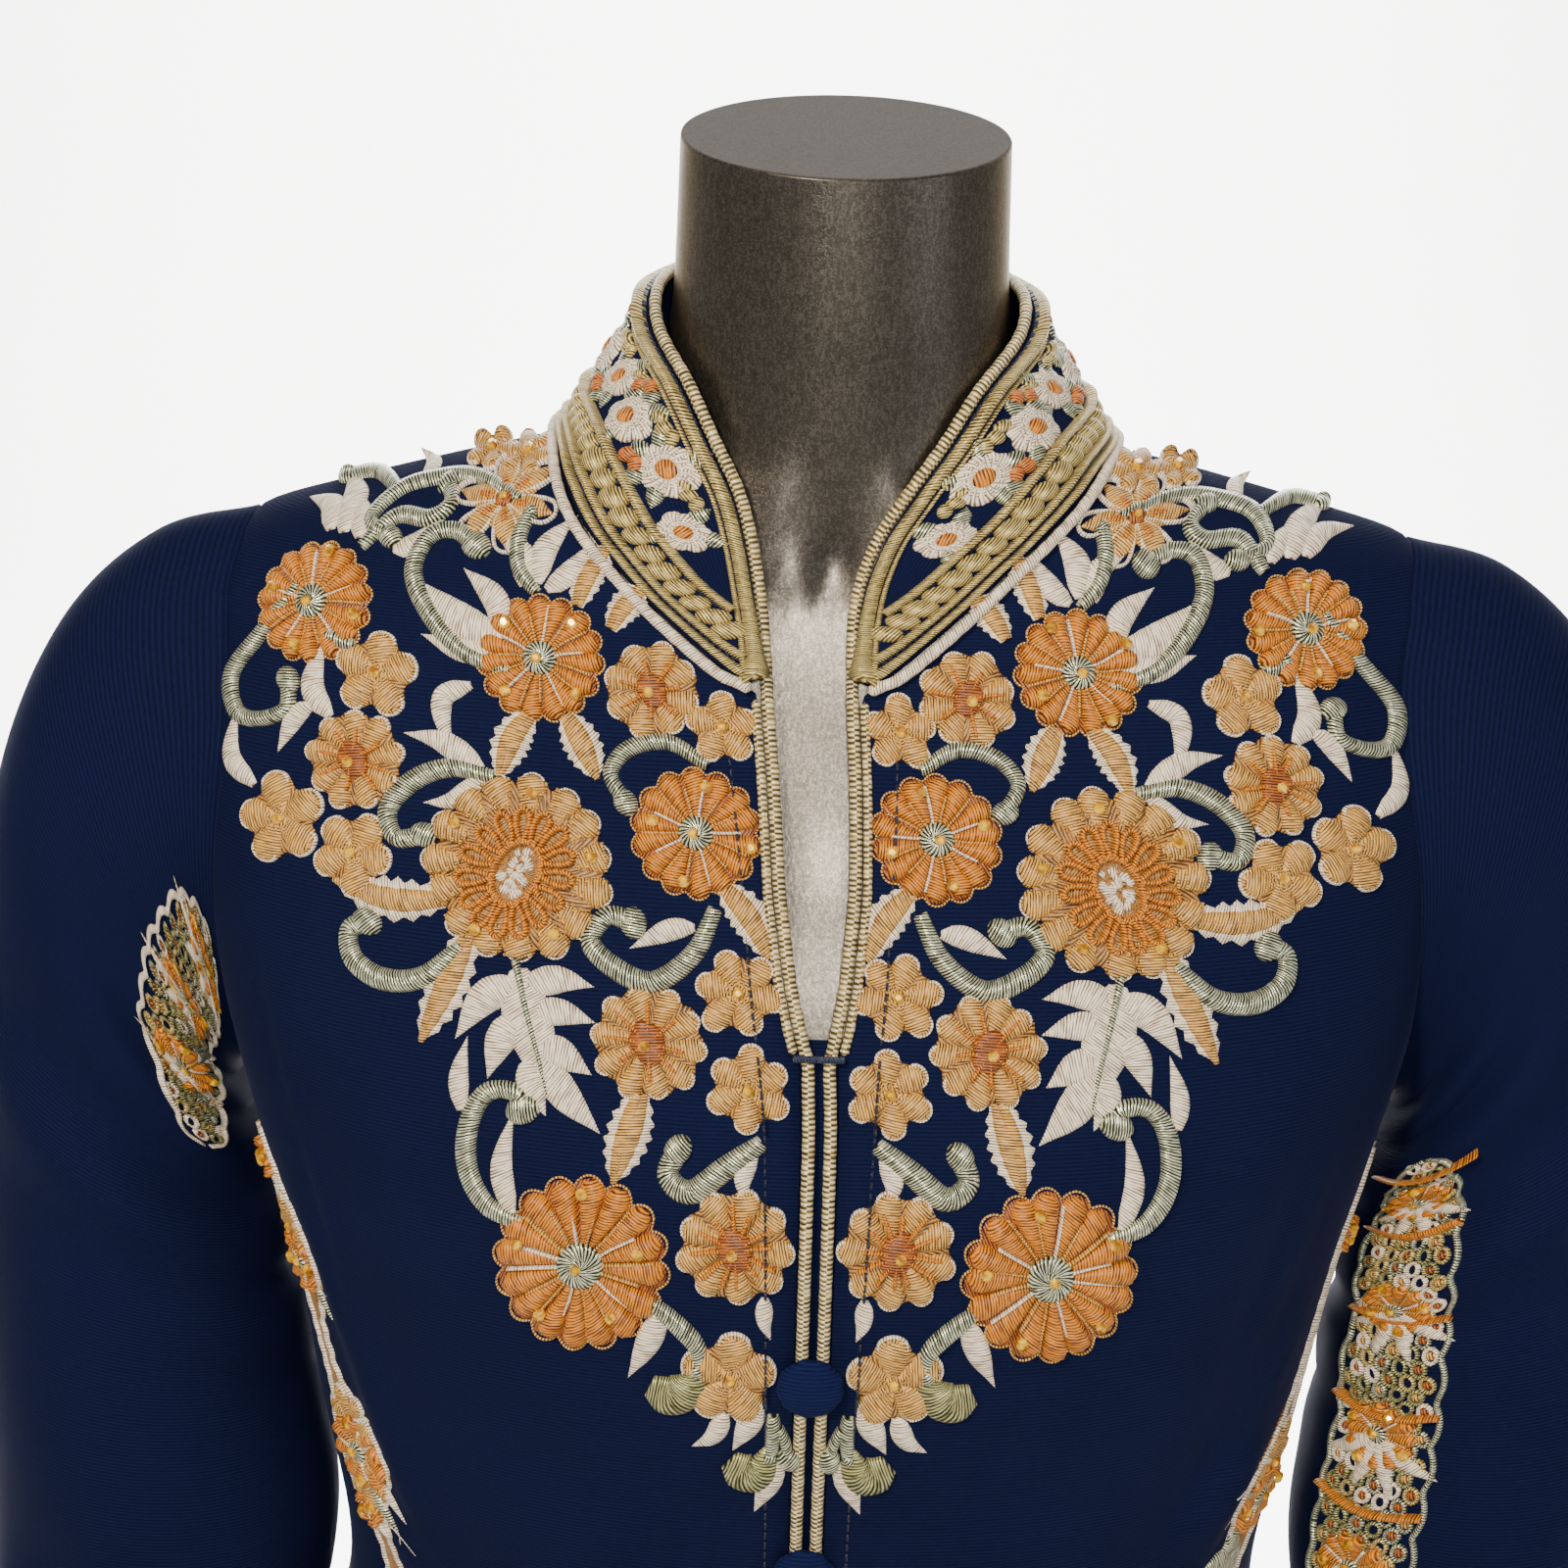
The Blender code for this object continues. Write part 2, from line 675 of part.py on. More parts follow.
def build_underlap(collection):
    """The strip behind the placket, seen between the cords."""
    bm = bmesh.new()
    rows = []
    heights = [z for z in PANEL_ROWS if PLACKET_END_Z <= z < SLIT_END_Z]
    for z in [*heights, UNDERLAP_TOP_Z]:
        widths = np.linspace(-UNDERLAP_HALF_WIDTH, UNDERLAP_HALF_WIDTH, UNDERLAP_COLUMNS + 1)
        rows.append([GOWN_BODY.at_x(float(x), z, UNDERLAP_LIFT) for x in widths])
    loft(bm, rows)
    strip = add_object("underlap", mesh_of(bm, "underlap"), navy_crepe(), collection)
    return add_wall(strip, UNDERLAP_WALL)


def build_border(side_name, side, collection):
    """Raised strip down the side, as wide as its table says."""
    bm = bmesh.new()
    rows = []
    for z, centre_deg, half_width in BORDER[::-1]:
        centre = math.radians(centre_deg)
        reach = half_width / GOWN_BODY.section(z)[1]
        row = []
        for part in (-1.0, 0.0, 1.0):
            angle = centre + part * reach
            inner = GOWN_BODY.at_angle(angle, z)
            row.append(inner + GOWN_BODY.normal(inner) * APPLIQUE_LIFT)
        rows.append([Vector((side * p.x, p.y, p.z)) for p in row])
    loft(bm, rows, flip=side < 0)
    name = "border_" + side_name
    return add_wall(add_object(name, mesh_of(bm, name), peach_thread(), collection), BORDER_HEIGHT)


def build_flower(flower, side_name, side, collection):
    """A raised flower with a scalloped edge, laid on the front."""
    centre, across, up, out = GOWN_BODY.frame(side * flower.x, flower.z)
    petals = flower.petals
    bm = bmesh.new()
    rings = []
    for part in FLOWER_RINGS:
        ring = []
        for i in range(2 * petals):
            turn = math.pi * i / petals
            notched = i % 2 == 1 and part == 1.0
            edge = flower.radius * part * (FLOWER_NOTCH if notched else 1.0)
            flat = centre + across * (edge * math.cos(turn)) + up * (edge * math.sin(turn))
            ring.append(GOWN_BODY.drop(flat, out) + out * APPLIQUE_LIFT)
        rings.append(ring)
    grid = loft(bm, rings, closed=True)
    pole = bm.verts.new(centre + out * APPLIQUE_LIFT)
    inner = grid[-1]
    for i, vert in enumerate(inner):
        bm.faces.new((vert, inner[(i + 1) % len(inner)], pole))
    name = f"{flower.name}_{side_name}"
    material = orange_thread() if flower.name.startswith("orange") else peach_thread()
    return add_wall(add_object(name, mesh_of(bm, name), material, collection), flower.height)


def build_flowers(collection):
    """The large raised flowers, mirrored on the two fronts."""
    for side_name, side in (("left", -1), ("right", 1)):
        for flower in FLOWERS:
            build_flower(flower, side_name, side, collection)


def placed(bm, origin, across, up, out):
    """Turn a bmesh so that its X, Y and Z follow across, up and out of the cloth."""
    turn = Matrix((across, up, out)).transposed().to_4x4()
    bmesh.ops.transform(bm, matrix=Matrix.Translation(origin) @ turn, verts=bm.verts)


def build_buttons(collection):
    """Domed, cloth-covered buttons down the placket."""
    for number in range(BUTTON_COUNT):
        bm = bmesh.new()
        bmesh.ops.create_uvsphere(
            bm, u_segments=BUTTON_SEGMENTS, v_segments=BUTTON_SEGMENTS // 2, radius=BUTTON_RADIUS
        )
        bmesh.ops.bisect_plane(
            bm,
            geom=bm.verts[:] + bm.edges[:] + bm.faces[:],
            plane_co=(0, 0, 0),
            plane_no=(0, 0, -1),
            clear_outer=True,
        )
        rim = [edge for edge in bm.edges if edge.is_boundary]
        bmesh.ops.contextual_create(bm, geom=rim)
        bmesh.ops.scale(bm, vec=(1, 1, BUTTON_HEIGHT / BUTTON_RADIUS), verts=bm.verts)
        bmesh.ops.recalc_face_normals(bm, faces=bm.faces)
        z = BUTTON_TOP_Z - number * BUTTON_PITCH
        placed(bm, *GOWN_BODY.frame(BUTTON_X, z, BUTTON_LIFT))
        name = f"button_{number + 1}"
        add_object(name, mesh_of(bm, name), navy_crepe(), collection)


def build_tack(collection):
    """The bar of stitches across the foot of the slit."""
    bm = bmesh.new()
    bmesh.ops.create_cube(bm, size=1.0)
    width, thickness, height = TACK_SIZE
    bmesh.ops.scale(bm, vec=(width, height, thickness), verts=bm.verts)
    placed(bm, *GOWN_BODY.frame(0.0, SLIT_END_Z, TACK_LIFT))
    add_object("bar_tack", mesh_of(bm, "bar_tack"), navy_crepe(), collection)


def leaned(point):
    """Move a point of the gown's front sideways, as far as the front is pulled there."""
    heights, shifts = np.array(LEAN).T
    part = min(max(-point.y / LEAN_DEPTH, 0.0), 1.0)
    shift = read_smooth(heights, shifts, point.z) * part * part * (3 - 2 * part)
    return Vector((point.x + shift, point.y, point.z))


def lean_gown(collection):
    """Pull the gown's front sideways, with everything sewn on it."""
    for obj in collection.objects:
        if obj.type == "CURVE":
            for knot in obj.data.splines[0].points:
                knot.co = (*leaned(knot.co.xyz), 1.0)
        else:
            for vert in obj.data.vertices:
                vert.co = leaned(vert.co)


def neck_tilt(point):
    """Lower the front of the neck's top, so that its cap slopes forwards."""
    part = (point.z - NECK_TILT_START_Z) / (NECK_TOP_Z - NECK_TILT_START_Z)
    lift = math.tan(NECK_TILT) * point.y * max(part, 0.0)
    return Vector((point.x, point.y, point.z + lift))


def build_form(collection):
    """The torso and neck in one smooth piece, cut flat at the top and the bottom."""
    bm = bmesh.new()
    angles = [2 * math.pi * i / TORSO_SIDES for i in range(TORSO_SIDES)]
    rows = [[neck_tilt(FORM_BODY.at_angle(angle, z)) for angle in angles] for z in FORM_ROWS]
    grid = loft(bm, rows, closed=True)
    bm.faces.new(grid[0][::-1])
    bm.faces.new(grid[-1])
    add_object("dress_form", mesh_of(bm, "dress_form"), form_paint(), collection)


def build_turned(name, radius_low, radius_high, low_z, high_z, material, collection):
    """An upright cylinder or cone between two heights."""
    bm = bmesh.new()
    bmesh.ops.create_cone(
        bm,
        cap_ends=True,
        segments=STAND_SIDES,
        radius1=radius_low,
        radius2=radius_high,
        depth=high_z - low_z,
    )
    bmesh.ops.translate(bm, vec=(0, 0, (low_z + high_z) / 2), verts=bm.verts)
    return add_object(name, mesh_of(bm, name), material, collection)


def build_stand(collection):
    """Round base, hub, pole and the socket under the torso."""
    steel = stand_steel()
    hub_low = BASE_HEIGHT + SEAM_GAP
    hub_high = hub_low + HUB_HEIGHT
    socket_high = TORSO_BOTTOM_Z - SEAM_GAP
    socket_low = socket_high - SOCKET_HEIGHT
    build_turned("stand_base", BASE_RADIUS, BASE_RADIUS, 0.0, BASE_HEIGHT, steel, collection)
    build_turned("stand_hub", HUB_RADIUS, CONE_TIP_RADIUS, hub_low, hub_high, steel, collection)
    build_turned(
        "stand_pole", POLE_RADIUS, POLE_RADIUS, hub_high + SEAM_GAP, socket_low - SEAM_GAP, steel, collection
    )
    build_turned("stand_socket", CONE_TIP_RADIUS, SOCKET_RADIUS, socket_low, socket_high, steel, collection)


def main():
    """Clear the scene and build every piece."""
    for obj in list(bpy.data.objects):
        bpy.data.objects.remove(obj, do_unlink=True)
    collection = bpy.data.collections.new(COLLECTION)
    bpy.context.scene.collection.children.link(collection)
    build_front("front_left", -1, collection)
    build_front("front_right", 1, collection)
    build_back(collection)
    for side_name in ("left", "right"):
        build_sleeve(side_name, collection)
    build_collar(collection)
    build_cords(collection)
    build_underlap(collection)
    build_tack(collection)
    build_buttons(collection)
    build_border("left", -1, collection)
    build_border("right", 1, collection)
    build_flowers(collection)
    lean_gown(collection)
    build_stand(collection)
    build_form(collection)


if __name__ == "__main__":
    main()
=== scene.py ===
"""Looks of a navy maxi gown with an embroidered yoke, worn by a limbless dress form on a stand.

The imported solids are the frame. The cloth, embroidery, cords, form and stand are built here on the same
sections. Metres, +Z up. The gown's front faces -Y, and +X is the viewer's right.
"""

import logging
import math
from collections.abc import Callable, Sequence
from dataclasses import dataclass
from enum import Enum

import bmesh
import bpy
import numpy as np
from mathutils import Euler, Matrix, Vector


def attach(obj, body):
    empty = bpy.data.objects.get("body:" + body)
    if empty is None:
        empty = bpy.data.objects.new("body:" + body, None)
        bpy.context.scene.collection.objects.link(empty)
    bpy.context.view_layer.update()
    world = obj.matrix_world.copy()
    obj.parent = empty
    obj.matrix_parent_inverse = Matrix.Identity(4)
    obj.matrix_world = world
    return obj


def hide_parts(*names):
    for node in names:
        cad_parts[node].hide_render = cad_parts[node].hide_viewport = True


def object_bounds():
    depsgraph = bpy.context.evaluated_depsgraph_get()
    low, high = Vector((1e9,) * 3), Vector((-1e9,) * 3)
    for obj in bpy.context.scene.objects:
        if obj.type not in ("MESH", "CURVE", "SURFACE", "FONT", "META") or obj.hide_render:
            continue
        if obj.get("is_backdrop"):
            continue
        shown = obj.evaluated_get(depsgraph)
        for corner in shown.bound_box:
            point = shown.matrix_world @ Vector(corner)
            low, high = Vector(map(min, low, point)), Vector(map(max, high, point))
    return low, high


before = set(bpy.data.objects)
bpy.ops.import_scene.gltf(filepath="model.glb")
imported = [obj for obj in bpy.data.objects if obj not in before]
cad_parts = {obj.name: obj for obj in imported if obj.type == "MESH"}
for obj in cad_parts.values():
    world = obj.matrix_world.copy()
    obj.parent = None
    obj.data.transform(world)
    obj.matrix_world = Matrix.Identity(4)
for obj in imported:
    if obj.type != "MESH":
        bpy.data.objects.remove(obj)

log = logging.getLogger("gown")
Array = np.ndarray
Pair = tuple[float, float]
Rows = Sequence[Sequence[float]]
Line = Sequence[Pair] | Array
Mesh = bpy.types.Mesh
Material = bpy.types.Material
Tree = bpy.types.NodeTree
Socket = bpy.types.NodeSocket

MM = 0.001
CLOTH = 0.0015
SEAM_GAP = 0.0003
HEM_Z = 0.030
PLACKET_END_Z = 0.948
SLIT_END_Z = 1.312
NECK_TOP_Z = 1.580
ARMHOLE_LOW_Z = 1.262
ARMHOLE_TOP_Z = 1.4535
ARMHOLE_MIDDLE_Z = (ARMHOLE_LOW_Z + ARMHOLE_TOP_Z) / 2
ARMHOLE_HALF_HEIGHT = (ARMHOLE_TOP_Z - ARMHOLE_LOW_Z) / 2
ARMHOLE_HALF_DEPTH = 0.042
# Scale of a wave texture that repeats every millimetre
WAVE_PER_MM = 314.2


class Side(Enum):
    """The wearer's cloth on each hand of the viewer."""

    LEFT = -1
    RIGHT = 1

    @property
    def label(self) -> str:
        """Name used in the nodes and pieces."""
        return self.name.lower()


# Sections of the form and of the gown: height, half width, depth in front, depth behind, squareness
FORM_SECTIONS = (
    (0.8, 0.16, 0.1, 0.108, 2.3), (0.9, 0.17, 0.104, 0.116, 2.3), (0.99, 0.15, 0.096, 0.102, 2.2),
    (1.07, 0.122, 0.086, 0.08, 2.2), (1.13, 0.13, 0.096, 0.08, 2.2), (1.19, 0.144, 0.112, 0.085, 2.3),
    (1.24, 0.152, 0.118, 0.09, 2.3), (1.3, 0.162, 0.108, 0.094, 2.3), (1.35, 0.174, 0.09, 0.094, 2.2),
    (1.395, 0.184, 0.073, 0.086, 2.1), (1.43, 0.187, 0.06, 0.075, 2.0), (1.447, 0.183, 0.055, 0.069, 1.85),
    (1.456, 0.174, 0.0535, 0.067, 1.75), (1.465, 0.151, 0.0525, 0.065, 1.62),
    (1.474, 0.1165, 0.052, 0.062, 1.55), (1.482, 0.0845, 0.052, 0.06, 1.6),
    (1.492, 0.067, 0.052, 0.057, 1.75), (1.505, 0.059, 0.052, 0.055, 1.9), (1.53, 0.054, 0.0525, 0.053, 2.0),
    (1.58, 0.0525, 0.0525, 0.0525, 2.0),
)
GOWN_SECTIONS = (
    (0.03, 0.4, 0.37, 0.3583, 2.1), (0.35, 0.335, 0.29, 0.31, 2.1), (0.65, 0.268, 0.215, 0.24, 2.1),
    (0.85, 0.222, 0.162, 0.178, 2.15), (0.98, 0.19, 0.132, 0.142, 2.2), (1.075, 0.164, 0.114, 0.112, 2.2),
    (1.15, 0.174, 0.118, 0.1, 2.3), (1.2, 0.1815, 0.124, 0.099, 2.3), (1.25, 0.192, 0.126, 0.101, 2.35),
    (1.3, 0.203, 0.117, 0.104, 2.4), (1.35, 0.208, 0.1, 0.103, 2.4), (1.395, 0.207, 0.081, 0.093, 2.3),
    (1.43, 0.205, 0.0665, 0.081, 2.15), (1.447, 0.197, 0.0595, 0.0735, 1.95),
    (1.456, 0.185, 0.057, 0.071, 1.8), (1.465, 0.156, 0.0555, 0.068, 1.65),
    (1.474, 0.122, 0.055, 0.065, 1.57), (1.482, 0.0905, 0.055, 0.063, 1.6), (1.49, 0.07, 0.055, 0.06, 1.7),
)

# Skirt folds on both hands: degrees from centre front, depth at the hem, half width in degrees, top height
GOWN_FOLDS = (
    (15.0, 0.019, 7.5, 0.93), (37.0, 0.027, 9.0, 1.0), (61.0, 0.022, 8.0, 0.94), (86.0, 0.019, 9.0, 0.98),
    (110.0, 0.026, 9.0, 0.96), (134.0, 0.023, 8.5, 1.01), (158.0, 0.026, 9.0, 0.95),
    (180.0, 0.018, 6.0, 0.92),
)

# Soft ridges: degrees from centre front and height of the start, the same of the end, half width, depth
GOWN_CREASES = (
    (-56.0, 1.33, -52.0, 1.17, 0.006, 0.0012), (55.0, 1.3, 50.0, 1.15, 0.009, 0.001),
    (-64.0, 1.25, -40.0, 1.09, 0.012, 0.0022), (63.0, 1.215, 44.0, 1.08, 0.013, 0.0026),
    (66.0, 1.165, 36.0, 1.11, 0.01, 0.002), (-66.0, 1.14, -30.0, 1.06, 0.01, 0.002),
    (10.0, 1.214, 24.0, 1.22, 0.004, 0.0008), (9.0, 1.13, 22.0, 1.142, 0.005, 0.0009),
    (-9.0, 1.07, -24.0, 1.085, 0.006, 0.0012), (-25.0, 1.02, -22.0, 0.56, 0.016, 0.0045),
    (26.0, 0.985, 27.0, 0.35, 0.018, 0.005), (49.0, 1.03, 50.0, 0.48, 0.015, 0.0042),
    (-50.0, 0.99, -49.0, 0.3, 0.019, 0.005), (-73.0, 1.0, -74.0, 0.42, 0.017, 0.0046),
    (74.0, 1.015, 73.0, 0.25, 0.018, 0.0052), (6.0, 0.9, 5.0, 0.2, 0.015, 0.0035),
    (-7.0, 0.86, -6.0, 0.26, 0.014, 0.0032), (98.0, 1.01, 99.0, 0.33, 0.018, 0.005),
    (-98.0, 0.96, -97.0, 0.24, 0.017, 0.0046), (122.0, 1.04, 123.0, 0.47, 0.016, 0.0046),
    (-121.0, 1.0, -123.0, 0.3, 0.019, 0.005), (146.0, 1.02, 147.0, 0.25, 0.018, 0.005),
    (-147.0, 1.05, -145.0, 0.45, 0.017, 0.0046), (169.0, 0.98, 169.0, 0.3, 0.014, 0.004),
    (-170.0, 1.01, -168.0, 0.38, 0.015, 0.0042), (118.0, 1.32, 140.0, 1.2, 0.011, 0.002),
    (-120.0, 1.3, -143.0, 1.21, 0.012, 0.0022), (112.0, 1.2, 138.0, 1.11, 0.011, 0.0024),
    (-110.0, 1.18, -136.0, 1.09, 0.012, 0.0026), (150.0, 1.13, 178.0, 1.11, 0.01, 0.0018),
    (-148.0, 1.15, -176.0, 1.125, 0.009, 0.0016), (160.0, 1.4, 158.0, 1.25, 0.012, 0.0014),
    (-163.0, 1.41, -160.0, 1.28, 0.011, 0.0012),
)


def smooth_through(knots: Array, values: Array, x: Array) -> Array:
    """Read a smooth curve through the knots, with no overshoot between them.

    Args:
        knots: Rising places of the knots.
        values: Value at each knot.
        x: Places to read.

    Returns:
        The curve's value at each place.
    """
    knots, values = np.array(knots), np.array(values)
    slopes = np.diff(values) / np.diff(knots)
    product = slopes[:-1] * slopes[1:]
    total = slopes[:-1] + slopes[1:]
    even = product > 0
    tangents = np.zeros(len(knots))
    tangents[1:-1][even] = 2 * product[even] / total[even]
    tangents[0], tangents[-1] = slopes[0], slopes[-1]
    x = np.clip(x, knots[0], knots[-1])
    i = np.clip(np.searchsorted(knots, x, side="right") - 1, 0, len(knots) - 2)
    width = knots[i + 1] - knots[i]
    t = (x - knots[i]) / width
    eased = values[i] * (1 + 2 * t) * (1 - t) ** 2 + tangents[i] * width * t * (1 - t) ** 2
    return eased + values[i + 1] * t * t * (3 - 2 * t) + tangents[i + 1] * width * t * t * (t - 1)


def unit(vectors: Array) -> Array:
    """Vectors of length one in the same directions."""
    return vectors / np.maximum(np.linalg.norm(vectors, axis=-1, keepdims=True), 1e-12)


def gone_along(points: Array) -> Array:
    """Distance along a line of points to each of them."""
    return np.concatenate([[0.0], np.cumsum(np.linalg.norm(np.diff(points, axis=0), axis=1))])


def length_of(line: Array) -> float:
    """Length of a line of points."""
    return float(np.linalg.norm(np.diff(line, axis=0), axis=1).sum())


def spline(a: Array, b: Array, c: Array, d: Array, t: Array) -> Array:
    """Smooth line from b to c, with a before it and d after it."""
    return b + 0.5 * t * (c - a + t * (2 * a - 5 * b + 4 * c - d + t * (3 * (b - c) + d - a)))


def curve_through(points: Line, count: int) -> Array:
    """Follow a smooth line through control points at even steps.

    Args:
        points: Control points, two or more, in any number of dimensions.
        count: How many points to return.

    Returns:
        Points along the line, evenly spaced by length.
    """
    knots = np.array(points, float)
    if len(knots) > 2:
        ends = np.vstack([2 * knots[0] - knots[1], knots, 2 * knots[-1] - knots[-2]])
        t = np.linspace(0, 1, 12, endpoint=False)[:, None]
        spans = [spline(*four, t) for four in zip(ends, ends[1:], ends[2:], ends[3:])]
        knots = np.vstack([*spans, knots[-1:]])
    length = gone_along(knots)
    places = np.linspace(0, length[-1], count)
    return np.stack([np.interp(places, length, column) for column in knots.T], axis=1)


def along_rows(rows: Array, place: Array) -> Array:
    """Read a smooth line through rows of points at row numbers that may be fractions.

    Args:
        rows: Points of each row, with the rows first.
        place: Row number of each sample, one for each point or for all.

    Returns:
        The samples' points.
    """
    padded = np.concatenate([[2 * rows[0] - rows[1]], rows, [2 * rows[-1] - rows[-2]]])
    first = np.clip(np.floor(place).astype(int), 0, len(rows) - 2)
    picks = (np.arange(len(place)),) if rows.ndim == 3 else ()
    return spline(*(padded[(first + k, *picks)] for k in range(4)), (place - first)[..., None])


def ridge(across: Array, up: Array, line: Array, half_width: float, trough: float) -> Array:
    """Work out a soft ridge of height one along a line, with a trough beside it.

    Args:
        across: Distances across from the line's start.
        up: Distances up from it.
        line: Where the line ends, from its start.
        half_width: Half of the ridge's width.
        trough: Depth of the trough.

    Returns:
        The ridge's height.
    """
    t = (across * line[0] + up * line[1]) / (line @ line)
    aside = (across * line[1] - up * line[0]) / np.linalg.norm(line) / half_width
    fade = np.clip(1 - (2 * np.clip(t, -0.2, 1.2) - 1) ** 2, 0, 1)
    return fade * (np.exp(-(aside**2)) - trough * np.exp(-((aside - 1.8) ** 2)))


class Body:
    """A smooth body given by horizontal sections, with folds and creases in its surface."""

    FINE_ROWS = 4000
    CREASE_RADIUS = 0.19

    def __init__(self, sections: Rows, folds: Rows = (), creases: Rows = ()) -> None:
        """Keep the sections as fine curves of height.

        Args:
            sections: Sections from the lowest up.
            folds: Folds of the skirt.
            creases: Soft ridges, listed one by one.
        """
        knots, *columns = np.array(sections).T
        self.heights = np.linspace(knots[0], knots[-1], self.FINE_ROWS)
        self.curves = [smooth_through(knots, values, self.heights) for values in columns]
        self.folds = folds
        self.creases = creases

    def section(self, z: Array) -> list[Array]:
        """Side, front, back and power at each height."""
        return [np.interp(z, self.heights, curve) for curve in self.curves]

    def relief(self, angle: Array, z: Array) -> Array:
        """Work out how far the folds and creases stand out.

        Args:
            angle: Angles from centre front, in radians, positive to +X.
            z: Heights.

        Returns:
            Distance out of the plain section.
        """
        degrees = np.degrees(angle)
        out = np.zeros(np.broadcast(angle, z).shape)
        for middle, depth, half_width, top_z in self.folds:
            reach = np.clip((top_z - z) / (top_z - HEM_Z), 0, 1) ** 1.3
            out += depth * reach * np.exp(-(((np.abs(degrees) - middle) / half_width) ** 2))
        around = np.radians(degrees) * self.CREASE_RADIUS
        for start_deg, start_z, end_deg, end_z, half_width, depth in self.creases:
            start = math.radians(start_deg) * self.CREASE_RADIUS
            line = np.array((math.radians(end_deg) * self.CREASE_RADIUS - start, end_z - start_z))
            out += depth * ridge(around - start, z - start_z, line, half_width, 0.6)
        return out

    def at_angle(self, angle: Array, z: Array) -> Array:
        """Points of the surface at angles from centre front, in radians, positive to +X."""
        side, front, back, power = self.section(z)
        lift = self.relief(angle, z)
        sine, cosine = np.sin(angle), np.cos(angle)
        depth = np.where(cosine > 0, front, back)
        x = np.sign(sine) * (side + lift) * np.abs(sine) ** (2 / power)
        y = -np.sign(cosine) * (depth + lift) * np.abs(cosine) ** (2 / power)
        return np.stack(np.broadcast_arrays(x, y, z), axis=-1)

    def angle_of_x(self, x: Array, z: Array) -> Array:
        """Angle from centre front of a distance from the centre, on the front half."""
        side, _, _, power = self.section(z)
        return np.arcsin(np.minimum(np.abs(x) / side, 1.0) ** (power / 2))

    def angle_of_depth(self, y: Array, z: Array, back: bool) -> Array:
        """Angle from centre front of a distance before or behind the side seam."""
        _, front_depth, back_depth, power = self.section(z)
        depth = back_depth if back else front_depth
        angle = np.arccos(np.minimum(y / depth, 1.0) ** (power / 2))
        return math.pi - angle if back else angle

    def at_x(self, x: Array, z: Array, lift: float = 0.0, back: bool = False) -> Array:
        """Find points of the surface by their distance from the centre.

        Args:
            x: Distances from the centre, positive to +X.
            z: Heights.
            lift: Distance out of the section.
            back: Whether the points are on the back.

        Returns:
            Points, with their three coordinates last.
        """
        side, front, rear, power = self.section(z)
        depth = rear if back else front
        part = np.minimum(np.abs(x) / (side + lift), 1.0) ** power
        y = (depth + lift) * (1 - part) ** (1 / power)
        return np.stack(np.broadcast_arrays(x, y if back else -y, z), axis=-1)

    def outside(self, points: Array) -> Array:
        """Below zero inside the section at each point's height, above zero outside."""
        x, y, z = np.moveaxis(points, -1, 0)
        side, front, back, power = self.section(z)
        depth = np.where(y > 0, back, front)
        return (np.abs(x) / side) ** power + (np.abs(y) / depth) ** power - 1

    def normal(self, points: Array) -> Array:
        """Outward direction of the plain surface near each point."""
        steps = 2e-4 * np.eye(3)
        return unit(np.stack([self.outside(points + s) - self.outside(points - s) for s in steps], axis=-1))

    def first_met(self, origins: Array, direction: Array, reach: float) -> Array:
        """Find where lines from outside first meet the surface.

        Args:
            origins: Start of each line.
            direction: The lines' one direction.
            reach: Length of the lines.

        Returns:
            The point of each line on the surface, or its end where it misses.
        """
        low = np.zeros(origins.shape[:-1])
        high = np.full(origins.shape[:-1], reach)
        for _ in range(22):
            middle = (low + high) / 2
            within = self.outside(origins + middle[..., None] * direction) < 0
            high = np.where(within, middle, high)
            low = np.where(within, low, middle)
        return origins + high[..., None] * direction


FORM = Body(FORM_SECTIONS)
GOWN = Body(GOWN_SECTIONS, GOWN_FOLDS, GOWN_CREASES)

# How far the worn front is pulled sideways at each height, in full where it is this far before the side seams
LEAN_HEIGHTS = (1.2900, 1.3150, 1.3400, 1.3650, 1.3900, 1.4200, 1.4450, 1.4600, 1.4750, 1.5000, 1.5400)
LEAN_SHIFTS = (0.0, -0.0011, -0.0020, -0.0030, -0.0045, -0.0070, -0.0080, -0.0070, -0.0045, -0.0025, -0.0015)
LEAN_DEPTH = 0.050


def leaned(points: Array) -> Array:
    """Move points of the gown's front sideways, as far as the front is pulled there."""
    part = np.clip(-points[..., 1] / LEAN_DEPTH, 0, 1)
    moved = points.copy()
    moved[..., 0] += smooth_through(LEAN_HEIGHTS, LEAN_SHIFTS, points[..., 2]) * part * part * (3 - 2 * part)
    return moved


def linear(hex_colour: str) -> tuple[float, float, float, float]:
    """Turn an sRGB hex colour into linear red, green, blue and an alpha of one."""
    parts = [int(hex_colour[i : i + 2], 16) / 255 for i in (1, 3, 5)]
    return (*[p / 12.92 if p <= 0.04045 else ((p + 0.055) / 1.055) ** 2.4 for p in parts], 1.0)


def feed(node: bpy.types.Node, inputs: dict) -> None:
    """Give a node's sockets their values, or the outputs that feed them."""
    for socket, value in inputs.items():
        if isinstance(value, Socket):
            node.id_data.links.new(value, node.inputs[socket])
        else:
            node.inputs[socket].default_value = value


